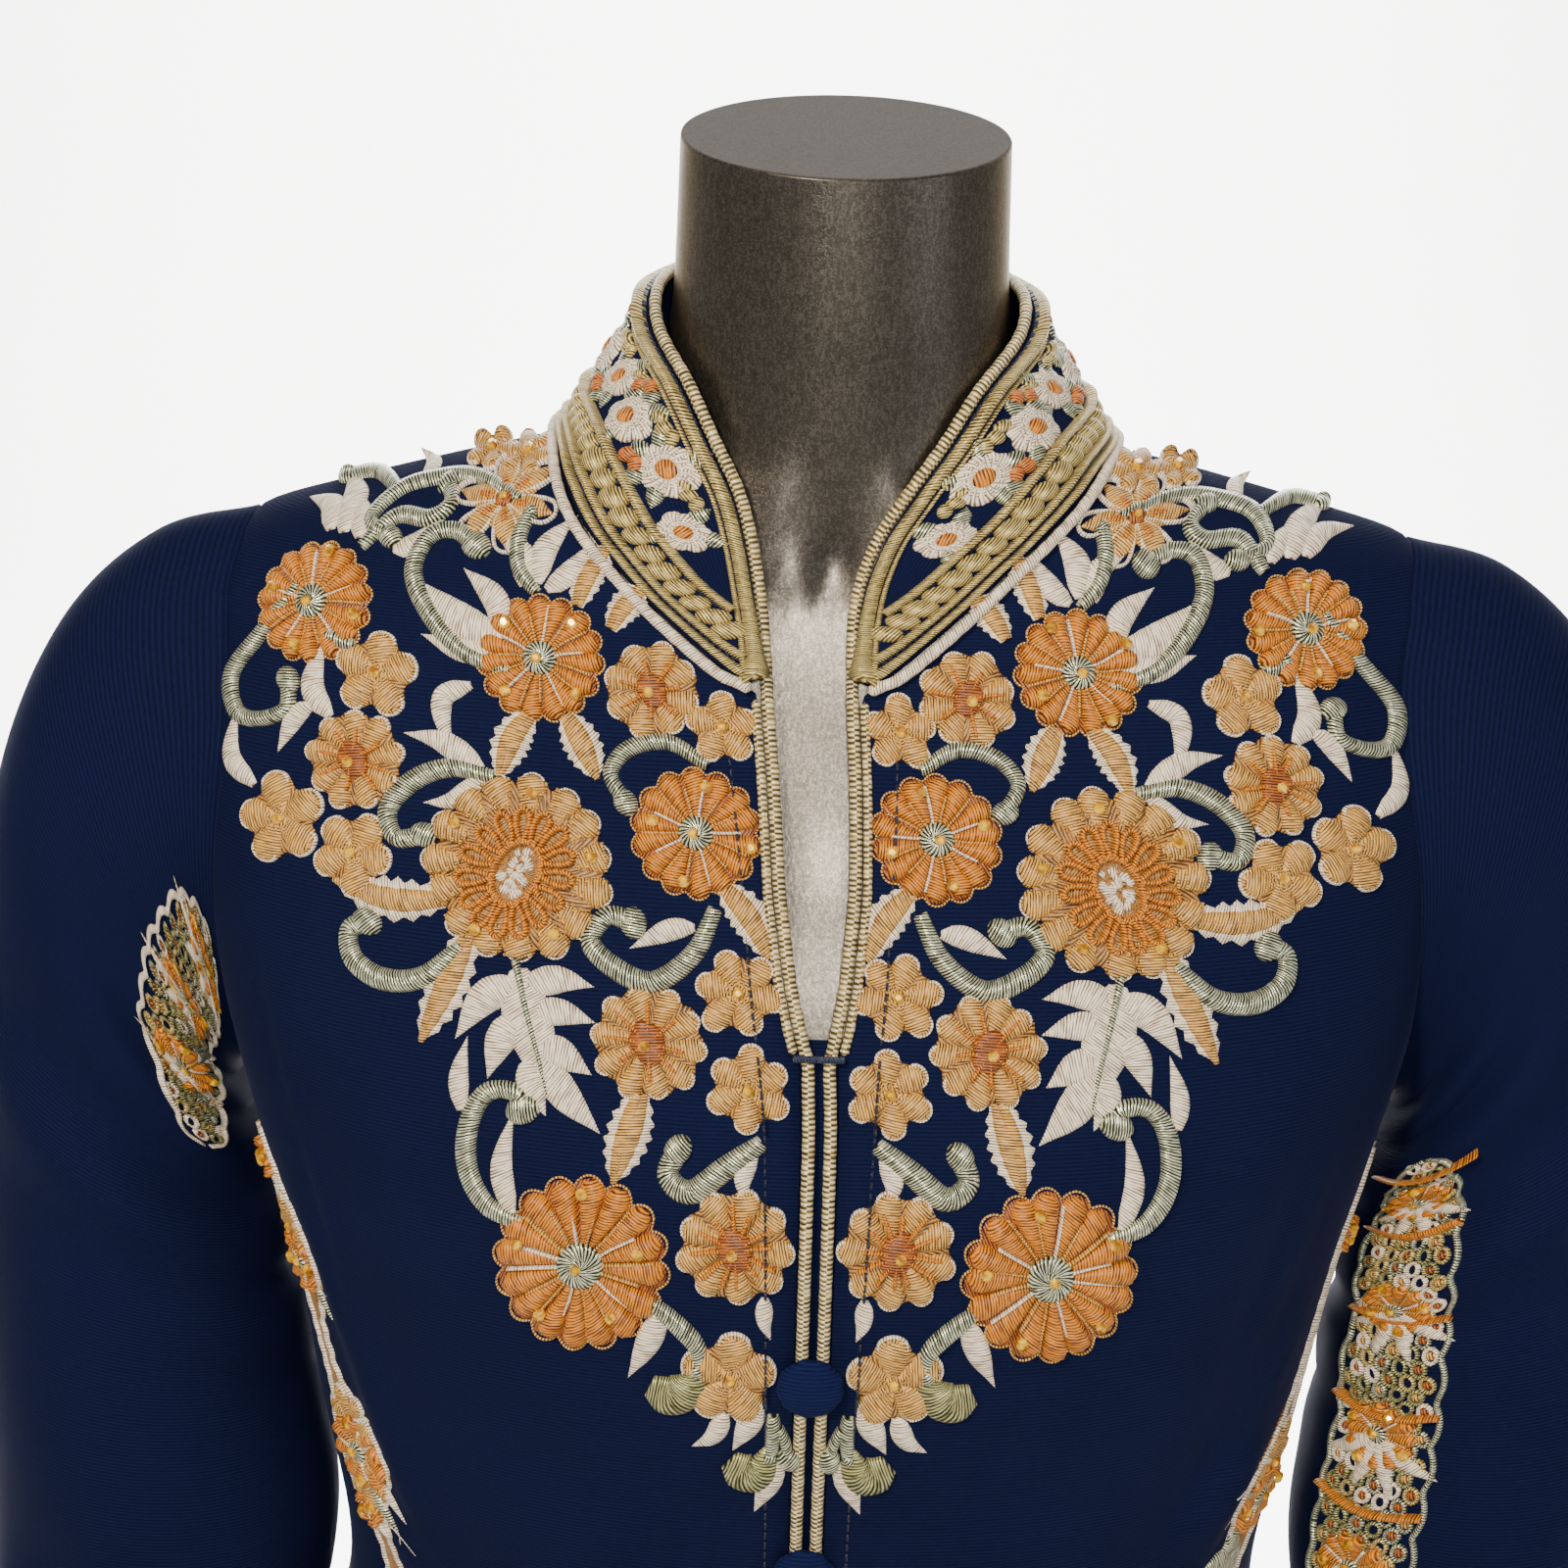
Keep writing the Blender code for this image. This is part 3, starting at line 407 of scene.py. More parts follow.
def add_node(
    tree: Tree, kind: str, inputs: dict, output: int | str = 0, stops: Sequence = (), **settings: object
) -> Socket:
    """Add a node with its settings and links.

    Args:
        tree: Tree that takes the node.
        kind: The node's type, after the words that all types share.
        inputs: Socket name or number to a value, or to the output that feeds it.
        output: Name or number of the wanted output.
        stops: Place and hex colour of each stop, if it is a colour ramp.
        **settings: Attributes of the node.

    Returns:
        The wanted output.
    """
    node = tree.nodes.new("ShaderNode" + kind)
    for name, value in settings.items():
        setattr(node, name, value)
    feed(node, inputs)
    if stops:
        elements = node.color_ramp.elements
        while len(elements) < len(stops):
            elements.new(0.5)
        for element, (place, colour) in zip(elements, stops):
            element.position = place
            element.color = linear(colour)
    return node.outputs[output]


@dataclass(frozen=True)
class Finish:
    """What a surface is made of, as a node material built from its own settings."""

    name: str

    def pattern(self, tree: Tree) -> dict:
        """Draw the nodes, and say what each socket of the shader takes."""
        raise NotImplementedError

    def material(self) -> Material:
        """Build the node material, the first time that it is asked for."""
        material = bpy.data.materials.get(self.name)
        if material is None:
            material = bpy.data.materials.new(self.name)
            material.use_nodes = True
            feed(material.node_tree.nodes["Principled BSDF"], self.pattern(material.node_tree))
        return material


@dataclass(frozen=True)
class Crepe(Finish):
    """Polyester crepe, woven with twisted yarns. Matt, with a fine grain across and a faint grazing sheen."""

    name: str = "polyester_crepe_navy"
    deep: str = "#050920"
    base: str = "#091030"
    light: str = "#0d173c"
    rib_mm: float = 1.3
    grain_mm: float = 0.7
    patch_mm: float = 60.0
    weave: float = 0.22

    def pattern(self, tree: Tree) -> dict:
        """Draw grain and ribs, a little coarser than the real yarns so that they show, and faint patches."""
        place = add_node(tree, "UVMap", {}, uv_map="cloth")
        long = add_node(tree, "Mapping", {"Vector": place, "Scale": (0.3, 1.0, 1.0)})
        grain = add_node(tree, "TexNoise", {"Vector": long, "Scale": 1 / MM / self.grain_mm, "Detail": 2.0})
        wave = {"Distortion": 1.5, "Detail": 1.0, "Detail Scale": 0.2, "Scale": WAVE_PER_MM / self.rib_mm}
        ribs = add_node(tree, "TexWave", {"Vector": place, **wave}, "Fac", bands_direction="Y")
        patch = add_node(tree, "TexNoise", {"Vector": place, "Scale": 1 / MM / self.patch_mm, "Detail": 3.0})
        woven = add_node(tree, "Math", {0: grain, 1: ribs}, operation="ADD")
        faint = add_node(tree, "Math", {0: patch, 1: 0.15}, operation="MULTIPLY")
        mixed = add_node(tree, "Math", {0: woven, 1: 0.30, 2: faint}, operation="MULTIPLY_ADD")
        stops = ((0.15, self.deep), (0.40, self.base), (0.65, self.light))
        return {
            "Roughness": 0.85,
            "Sheen Weight": 0.04,
            "Sheen Roughness": 0.4,
            "Sheen Tint": linear("#8a9ad8"),
            "Specular IOR Level": 0.08,
            "Base Color": add_node(tree, "ValToRGB", {"Fac": mixed}, stops=stops),
            "Normal": add_node(tree, "Bump", {"Height": woven, "Strength": self.weave, "Distance": 0.0003}),
        }


@dataclass(frozen=True)
class Thread(Finish):
    """Embroidery thread laid side by side in satin stitch: rayon, or a metallised film round a core.

    It gives narrow grooves across the stitch, with painted shade in them, and a soft gleam along each thread
    that is partly its gloss and partly painted highlight.
    """

    # deep is the painted shade in the grooves between threads, light the painted highlight along them, base
    # the thread's own colour
    deep: str
    base: str
    light: str
    metallic: float = 0.0
    roughness: float = 0.40
    pitch_mm: float = 0.95
    slant: float = 0.35
    relief: float = 0.9

    def pattern(self, tree: Tree) -> dict:
        """Draw the threads, a little thicker than the real 0.4 mm so that they show, with painted shade in
        the grooves and painted highlights along the threads.
        """
        place = add_node(tree, "UVMap", {}, uv_map="threads")
        x = add_node(tree, "SeparateXYZ", {0: place})
        y = x.node.outputs["Y"]
        along = add_node(tree, "Math", {0: y, 1: self.slant, 2: x}, operation="MULTIPLY_ADD")
        laid = add_node(tree, "CombineXYZ", {"X": along, "Y": y})
        wave = {"Distortion": 1.2, "Detail": 1.0, "Detail Scale": 0.15, "Scale": WAVE_PER_MM / self.pitch_mm}
        grooves = add_node(tree, "TexWave", {"Vector": laid, **wave}, "Fac")
        narrow = add_node(tree, "Mapping", {"Vector": laid, "Scale": (1.0, 0.12, 1.0)})
        streaks_and_highlights = add_node(tree, "TexNoise", {"Vector": narrow, "Scale": 1400 / self.pitch_mm, "Detail": 2.0})
        drift = add_node(tree, "TexNoise", {"Vector": place, "Scale": 160.0, "Detail": 1.0})
        both = add_node(tree, "Math", {0: grooves, 1: 0.45, 2: streaks_and_highlights}, operation="MULTIPLY_ADD")
        mixed = add_node(tree, "Math", {0: drift, 1: 0.30, 2: both}, operation="MULTIPLY_ADD")
        # The ramp paints shade into the grooves and highlights along the threads
        stops = ((0.64, self.deep), (0.85, self.base), (1.00, self.light))
        return {
            "Roughness": self.roughness,
            "Metallic": self.metallic,
            "Sheen Weight": 0.05,
            "Specular IOR Level": 0.4,
            "Base Color": add_node(tree, "ValToRGB", {"Fac": mixed}, stops=stops),
            "Normal": add_node(tree, "Bump", {"Height": both, "Strength": self.relief, "Distance": 0.00035}),
        }


def flakes(tree: Tree, place: Socket, size_mm: float) -> Socket:
    """Draw flakes of a size, each with a shade of its own."""
    cells = add_node(tree, "TexVoronoi", {"Vector": place, "Scale": 1 / MM / size_mm}, "Position")
    return add_node(tree, "TexWhiteNoise", {"Vector": cells})


@dataclass(frozen=True)
class FlakePaint(Finish):
    """Metallic lacquer sprayed on glass fibre. Fine flakes sparkle, and the spray leaves a faint grain."""

    name: str = "metallic_lacquer_warm_grey"
    deep: str = "#49443e"
    base: str = "#544f48"
    light: str = "#68625a"
    flake_mm: float = 0.5
    grain_mm: float = 1.1

    def pattern(self, tree: Tree) -> dict:
        """Draw the flakes, coarser than the real 0.1 mm so that they show, and the grain."""
        place = add_node(tree, "TexCoord", {}, "Object")
        tall = add_node(tree, "Mapping", {"Vector": place, "Scale": (1.0, 1.0, 0.35)})
        grain = add_node(tree, "TexNoise", {"Vector": tall, "Scale": 1 / MM / self.grain_mm, "Detail": 3.0})
        shade = flakes(tree, place, self.flake_mm)
        mixed = add_node(tree, "Math", {0: shade, 1: 0.55, 2: grain}, operation="MULTIPLY_ADD")
        stops = ((0.45, self.deep), (0.78, self.base), (1.10, self.light))
        return {
            "Metallic": 0.9,
            "Roughness": 0.31,
            "Specular Tint": linear("#aba59c"),
            "Base Color": add_node(tree, "ValToRGB", {"Fac": mixed}, stops=stops),
            "Normal": add_node(tree, "Bump", {"Height": mixed, "Strength": 0.22, "Distance": 0.0002}),
        }


@dataclass(frozen=True)
class CapPaint(Finish):
    """Satin lacquer on the form's neck cap, a little paler than the torso and less metallic."""

    name: str = "satin_lacquer_cap_grey"
    deep: str = "#45423f"
    light: str = "#575350"
    flake_mm: float = 0.5

    def pattern(self, tree: Tree) -> dict:
        """Draw the flakes, coarser than the real ones."""
        shade = flakes(tree, add_node(tree, "TexCoord", {}, "Object"), self.flake_mm)
        colour = add_node(tree, "ValToRGB", {"Fac": shade}, stops=((0.0, self.deep), (1.0, self.light)))
        return {"Metallic": 0.0, "Roughness": 0.8, "Specular IOR Level": 0.12, "Base Color": colour}


@dataclass(frozen=True)
class BrushedSteel(Finish):
    """Stainless steel, brushed round the turned parts, so its gleam is drawn out level."""

    name: str = "brushed_stainless_steel"
    deep: str = "#8b8a88"
    light: str = "#a9a8a5"
    line_mm: float = 0.8

    def pattern(self, tree: Tree) -> dict:
        """Draw the brushed lines."""
        place = add_node(tree, "TexCoord", {}, "Object")
        level = add_node(tree, "Mapping", {"Vector": place, "Scale": (0.05, 0.05, 1.0)})
        lines = add_node(tree, "TexNoise", {"Vector": level, "Scale": 1 / MM / self.line_mm, "Detail": 4.0})
        stops = ((0.3, self.deep), (0.7, self.light))
        return {
            "Metallic": 1.0,
            "Base Color": add_node(tree, "ValToRGB", {"Fac": lines}, stops=stops),
            "Roughness": add_node(tree, "MapRange", {"Value": lines, "To Min": 0.24, "To Max": 0.42}),
        }


@dataclass(frozen=True)
class FloorPaint(Finish):
    """Matt emulsion on a studio floor and its curved back wall. Pale and even."""

    name: str = "matt_emulsion_white"
    deep: str = "#efeeec"
    light: str = "#f4f3f1"
    patch_mm: float = 900.0

    def pattern(self, tree: Tree) -> dict:
        """Draw the patches."""
        place = add_node(tree, "TexCoord", {}, "Object")
        patch = add_node(tree, "TexNoise", {"Vector": place, "Scale": 1 / MM / self.patch_mm, "Detail": 2.0})
        colour = add_node(tree, "ValToRGB", {"Fac": patch}, stops=((0.2, self.deep), (0.8, self.light)))
        return {"Roughness": 0.9, "Specular IOR Level": 0.2, "Base Color": colour}


@dataclass(frozen=True)
class CutGlass(Finish):
    """Amber glass stones with a foiled back, faceted by machine. They glint, so they are nearly metallic."""

    name: str = "foiled_glass_amber"
    deep: str = "#a86a00"
    light: str = "#ffca2a"

    def pattern(self, tree: Tree) -> dict:
        """Draw a small drift of colour between the stones."""
        place = add_node(tree, "TexCoord", {}, "Object")
        drift = add_node(tree, "TexNoise", {"Vector": place, "Scale": 420.0, "Detail": 1.0})
        colour = add_node(tree, "ValToRGB", {"Fac": drift}, stops=((0.35, self.deep), (0.65, self.light)))
        return {"Metallic": 0.30, "Roughness": 0.16, "Coat Weight": 0.6, "Base Color": colour}


class Yarn(Enum):
    """Threads of the embroidery by colour, each with its finish, and the stones sewn on with them."""

    ORANGE = Thread("rayon_thread_orange", "#461e00", "#ac5e00", "#e28e1c")
    BURNT = Thread("rayon_thread_burnt_orange", "#4a2004", "#a35012", "#d27a30")
    RUST = Thread("rayon_thread_rust", "#301202", "#743206", "#b4641c")
    PEACH = Thread("rayon_thread_peach", "#452c08", "#a97423", "#e6b566")
    # A darker copy of the peach thread, used as painted shade between petals, inside loops and on the side
    # borders
    TAN = Thread("rayon_thread_tan", "#3a2206", "#7d5219", "#b98540")
    CREAM = Thread("rayon_thread_cream", "#75604a", "#dcc6a9", "#fff4e0")
    SILVER = Thread("metallised_thread_silver_green", "#171b08", "#5f6442", "#eceed0", 0.62, 0.32)
    OLIVE = Thread("metallised_thread_olive", "#23240d", "#6b683a", "#c2be86", 0.50, 0.38)
    GOLD = Thread("metallised_thread_gold", "#3c2f0d", "#957b39", "#e4d08a", 0.35, 0.38)
    CORD = Thread("metallised_cord_gold", "#4c3c16", "#b0965a", "#f6e8bc", 0.30, 0.40, 1.7, 0.06, 2.2)
    NAVY = Thread("polyester_thread_navy", "#050815", "#0b1128", "#1a2345")
    STONE = CutGlass()


def mesh_points(mesh: Mesh) -> Array:
    """Corner points of a mesh, one row each."""
    points = np.empty(len(mesh.vertices) * 3, np.float32)
    mesh.vertices.foreach_get("co", points)
    return points.reshape(-1, 3).astype(float)


def set_points(mesh: Mesh, points: Array) -> None:
    """Put the corner points of a mesh in their places."""
    mesh.vertices.foreach_set("co", points.astype(np.float32).ravel())
    mesh.update()


def set_uv(mesh: Mesh, name: str, values: Array) -> None:
    """Store a UV map from one value at each corner point."""
    corners = np.empty(len(mesh.loops), np.int32)
    mesh.loops.foreach_get("vertex_index", corners)
    layer = mesh.uv_layers.new(name=name)
    layer.uv.foreach_set("vector", values[corners].astype(np.float32).ravel())


def new_mesh(name: str, bm: bmesh.types.BMesh) -> Mesh:
    """Turn a bmesh into a smooth mesh and free it."""
    mesh = bpy.data.meshes.new(name)
    bm.to_mesh(mesh)
    bm.free()
    mesh.shade_smooth()
    return mesh


def flat_grid(name: str, columns: int, rows: int) -> tuple[Mesh, Array]:
    """Make a flat grid of faces, and give its corner points too."""
    bm = bmesh.new()
    bmesh.ops.create_grid(bm, x_segments=columns, y_segments=rows, size=0.5)
    mesh = new_mesh(name, bm)
    return mesh, mesh_points(mesh)


def close_seams(mesh: Mesh, flip: bool = False) -> None:
    """Join points that share a place, and turn the faces round where they point inwards."""
    bm = bmesh.new()
    bm.from_mesh(mesh)
    bmesh.ops.remove_doubles(bm, verts=bm.verts, dist=2e-6)
    if flip:
        bmesh.ops.reverse_faces(bm, faces=bm.faces)
    bm.to_mesh(mesh)
    bm.free()
    mesh.shade_smooth()


def grid_mesh(
    name: str, columns: int, rows: int, place: Callable[[Array, Array], Array], flip: bool = False
) -> Mesh:
    """Bend an even grid into a surface, with a UV map in metres over the cloth.

    Args:
        name: The mesh's name.
        columns: Faces across.
        rows: Faces along.
        place: Turns places across and along, each 0 to 1, into points.
        flip: Whether to turn the faces round.

    Returns:
        The mesh.
    """
    mesh, flat = flat_grid(name, columns, rows)
    low, high = flat.min(0), flat.max(0)
    u, v = ((flat[:, :2] - low[:2]) / (high - low)[:2]).T
    points = place(u, v)
    order = np.lexsort((u.round(6), v.round(6)))
    net = points[order].reshape(rows + 1, columns + 1, 3)
    across = np.zeros(net.shape[:2])
    along = np.zeros(net.shape[:2])
    across[:, 1:] = np.cumsum(np.linalg.norm(np.diff(net, axis=1), axis=2), axis=1)
    along[1:] = np.cumsum(np.linalg.norm(np.diff(net, axis=0), axis=2).mean(1))[:, None]
    uv = np.empty((len(points), 2))
    uv[order] = np.stack([across.ravel(), along.ravel()], axis=1)
    set_uv(mesh, "cloth", uv)
    set_points(mesh, points)
    close_seams(mesh, flip)
    return mesh


def link(name: str, data: bpy.types.ID) -> bpy.types.Object:
    """Put data in the scene as an object."""
    obj = bpy.data.objects.new(name, data)
    bpy.context.scene.collection.objects.link(obj)
    return obj


def add_piece(
    mesh: Mesh, finishes: Sequence[Finish], stands_for: Sequence[str] = ()
) -> bpy.types.Object:
    """Add a finished mesh to the object.

    Args:
        mesh: Mesh in its place, with the piece's name.
        finishes: Its finishes, in the order of the mesh's slots.
        stands_for: Solids that it replaces.

    Returns:
        The piece, riding on the one body.
    """
    for finish in finishes:
        mesh.materials.append(finish.material())
    obj = link(mesh.name, mesh)
    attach(obj, "root")
    if stands_for:
        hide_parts(*stands_for)
    mesh.calc_loop_triangles()
    log.info("%s: %d triangles", mesh.name, len(mesh.loop_triangles))
    return obj


def add_cloth(
    mesh: Mesh,
    solid: str,
    wall: float = CLOTH,
) -> None:
    """Args:
        mesh: Shell in its place, with the piece's name.
        solid: Solid that it replaces.
        wall: Its thickness.
    """
    log.info("%s: %.4f square metres", mesh.name, sum(face.area for face in mesh.polygons))
    obj = add_piece(mesh, [Crepe()], [solid])
    solidify = obj.modifiers.new("wall", "SOLIDIFY")
    solidify.thickness = wall
    solidify.offset = 1.0


@dataclass(frozen=True)
class CollarRow:
    """A place along the collar: its corded edge, its seam on the neckline, and whether it is behind."""

    edge_x: float
    edge_z: float
    seam_x: float
    seam_z: float
    back: bool


@dataclass(frozen=True)
class SleeveRow:
    """A ring of a sleeve: its under point, measured out from the gown's side, its top point and its depth."""

    under_clear: float
    under_z: float
    top_x: float
    top_z: float
    half_depth: float
    mid_y: float


COLLAR_ROWS = tuple(
    CollarRow(*row)
    for row in (
        (0.0134, 1.4205, 0.019, 1.419, False), (0.0137, 1.429, 0.026, 1.4225, False),
        (0.0144, 1.439, 0.037, 1.4305, False), (0.0165, 1.451, 0.05, 1.441, False),
        (0.0205, 1.464, 0.061, 1.4515, False), (0.027, 1.477, 0.0705, 1.4605, False),
        (0.036, 1.491, 0.078, 1.469, False), (0.045, 1.506, 0.0835, 1.4765, False),
        (0.057, 1.52, 0.089, 1.4825, False), (0.059, 1.53, 0.083, 1.483, True),
        (0.053, 1.534, 0.069, 1.4815, True), (0.04, 1.536, 0.052, 1.479, True),
        (0.022, 1.537, 0.029, 1.4765, True), (0.0, 1.5375, 0.0, 1.4755, True),
    )
)

SLEEVE_ROWS = tuple(
    SleeveRow(*row)
    for row in (
        (0.0085, 1.259, 0.224, 1.444, 0.046, 0.0), (0.01, 1.253, 0.254, 1.416, 0.05, 0.0),
        (0.0095, 1.242, 0.276, 1.368, 0.054, 0.0), (0.0075, 1.22, 0.288, 1.302, 0.056, 0.0),
        (0.0065, 1.185, 0.293, 1.23, 0.057, -0.002), (0.0065, 1.138, 0.294, 1.156, 0.057, -0.005),
        (0.008, 1.083, 0.293, 1.09, 0.056, -0.008), (0.0075, 1.025, 0.296, 1.025, 0.055, -0.01),
        (0.008, 0.965, 0.304, 0.964, 0.056, -0.012), (0.01, 0.905, 0.317, 0.903, 0.057, -0.014),
        (0.013, 0.85, 0.331, 0.848, 0.059, -0.015),
    )
)

# Half of the gap between the two edge cords, from the placket's foot up to the collar's points
SLIT_HEIGHTS = (0.9480, 1.3120, 1.3200, 1.3350, 1.3600, 1.3850, 1.4195)
SLIT_HALF_GAPS = (0.0011, 0.0014, 0.0038, 0.0068, 0.0098, 0.0106, 0.0113)
CORD_RADIUS = 0.0020
CORD_LIFT = 0.0008
COLLAR_STANDOFF = 0.0050
COLLAR_BULGE = 0.0015
COLLAR_WALL = 0.0022
NECKLINE_DROP = 0.0010
SEAM_RISE = 0.0004


def slit_half_gap(z: Array) -> Array:
    """Half of the gap between the edge cords at a height."""
    return np.interp(z, SLIT_HEIGHTS, SLIT_HALF_GAPS)


def collar_point(row: CollarRow, side: int, seam: bool = False) -> Array:
    """Point of the collar's free edge, or of its seam, at a row on one hand."""
    if seam:
        return GOWN.at_x(side * row.seam_x, np.array(row.seam_z + SEAM_RISE), back=row.back)
    return FORM.at_x(side * row.edge_x, np.array(row.edge_z), COLLAR_STANDOFF, row.back)


def collar_line(seam: bool) -> Array:
    """Points of the collar's free edge or seam, from the left front round the back to the right front."""
    trip = [(row, -1) for row in COLLAR_ROWS] + [(row, 1) for row in COLLAR_ROWS[-2::-1]]
    return np.array([collar_point(row, side, seam) for row, side in trip])


class Ground:
    """A surface of the gown, measured in metres along two lines, on which embroidery is laid."""

    FLIPPED = Side.LEFT

    def __init__(self, side: Side) -> None:
        """Keep which side it is on, and whether its faces come out inwards."""
        self.side = side
        self.flip = side is self.FLIPPED

    def place(self, a: Array, b: Array) -> tuple[Array, Array]:
        """Points on the surface and their outward directions, for distances along its two lines."""
        raise NotImplementedError


class YokeGround(Ground):
    """The gown's front, measured in metres out from the centre and up from the foot of the slit.

    Heights run along a plane leaning back, which the yoke nearly follows, so that motifs keep their shape.
    """

    LEAN = math.radians(23.0)
    START_Y = -0.20

    def __init__(self, side: Side) -> None:
        """Find the foot of the slit, for one of the fronts."""
        super().__init__(side)
        self.across = np.array((1.0, 0.0, 0.0))
        self.up = np.array((0.0, math.sin(self.LEAN), math.cos(self.LEAN)))
        self.inwards = np.array((0.0, math.cos(self.LEAN), -math.sin(self.LEAN)))
        self.foot = float(GOWN.at_x(np.array(0.0), np.array(SLIT_END_Z)) @ self.up)

    def place(self, a: Array, b: Array) -> tuple[Array, Array]:
        """Find points and outward directions on top of the cloth.

        Args:
            a: Distances out from the centre.
            b: Distances up from the foot of the slit.

        Returns:
            The points and the directions.
        """
        start = self.side.value * a[:, None] * self.across + (b + self.foot)[:, None] * self.up
        start = start + ((self.START_Y - start[:, 1]) / self.inwards[1])[:, None] * self.inwards
        points = GOWN.first_met(start, self.inwards, -self.START_Y / self.inwards[1])
        out = GOWN.normal(points)
        side, _, _, power = GOWN.section(points[:, 2])
        part = np.minimum(np.abs(points[:, 0]) / side, 1.0)
        angle = np.sign(points[:, 0]) * np.arcsin(part ** (power / 2))
        relief = GOWN.relief(angle, points[:, 2])
        return leaned(points + out * (CLOTH + relief)[:, None]), out


class CollarGround(Ground):
    """The collar's outside, measured along its seam from the centre back and out from the seam."""

    FLIPPED = Side.RIGHT
    FINE = 801

    def __init__(self, side: Side) -> None:
        """Draw the edge and the seam as fine lines, for one half of the collar."""
        super().__init__(side)
        rows = np.linspace(0, 2 * (len(COLLAR_ROWS) - 1), self.FINE)
        edge, self.seam = (along_rows(collar_line(seam), rows) for seam in (False, True))
        self.edge = edge + unit(self.seam - edge) * (CORD_RADIUS + SEAM_GAP)
        length = gone_along(self.seam)
        self.along = length - length[-1] / 2
        self.reach = self.along[-1]
        self.width = np.linalg.norm(self.edge - self.seam, axis=1)

    def read(self, line: Array, a: Array) -> Array:
        """Read one of the fine lines at distances from the centre back."""
        return np.stack([np.interp(a, self.along, column) for column in line.T], axis=-1)

    def width_at(self, a: Array) -> Array:
        """Width of the collar at distances from the centre back."""
        return np.interp(a, self.along, self.width)

    def surface(self, a: Array, part: Array) -> Array:
        """Points of the inner face at distances from the centre back and shares of the way to the edge."""
        seam, edge = self.read(self.seam, a), self.read(self.edge, a)
        points = seam + (edge - seam) * part[:, None]
        level = points * (1.0, 1.0, 0.0)
        return points + unit(level) * (COLLAR_BULGE * np.sin(math.pi * np.clip(part, 0, 1)))[:, None]

    def place(self, a: Array, b: Array) -> tuple[Array, Array]:
        """Find points and outward directions on the collar's outside.

        Args:
            a: Distances along the seam from the centre back.
            b: Distances out from the seam.

        Returns:
            The points and the directions.
        """
        a = self.side.value * a
        part = b / self.width_at(a)
        points = self.surface(a, part)
        step = 0.0005
        along = self.surface(a + step, part) - self.surface(a - step, part)
        out = unit(np.cross(along, self.surface(a, part + 0.01) - points))
        out *= np.sign(np.sum(out * points * (1.0, 1.0, 0.0), axis=1))[:, None]
        return leaned(points + out * COLLAR_WALL), out


class BorderGround(Ground):
    """A side of the gown, measured across its border from the middle to the back, and down from its top."""

    FLIPPED = Side.RIGHT
    TOP_Z = 1.250
    HEIGHTS = (0.948, 1.010, 1.060, 1.105, 1.150, 1.190, 1.227, 1.250)
    CENTRES_DEG = (62.5, 62.5, 64.0, 67.0, 70.5, 73.5, 76.5, 80.5)

    def place(self, a: Array, b: Array) -> tuple[Array, Array]:
        """Find points and outward directions on the gown's outside.

        Args:
            a: Distances from the border's middle, towards the back.
            b: Distances down from its top.

        Returns:
            The points and the directions.
        """
        z = self.TOP_Z - b
        angle = np.radians(smooth_through(self.HEIGHTS, self.CENTRES_DEG, z))
        step = 0.01
        ahead = GOWN.at_angle(self.side.value * (angle + step), z) - GOWN.at_angle(self.side.value * angle, z)
        points = GOWN.at_angle(self.side.value * (angle + step * a / np.linalg.norm(ahead, axis=1)), z)
        out = GOWN.normal(points)
        return leaned(points + out * CLOTH), out


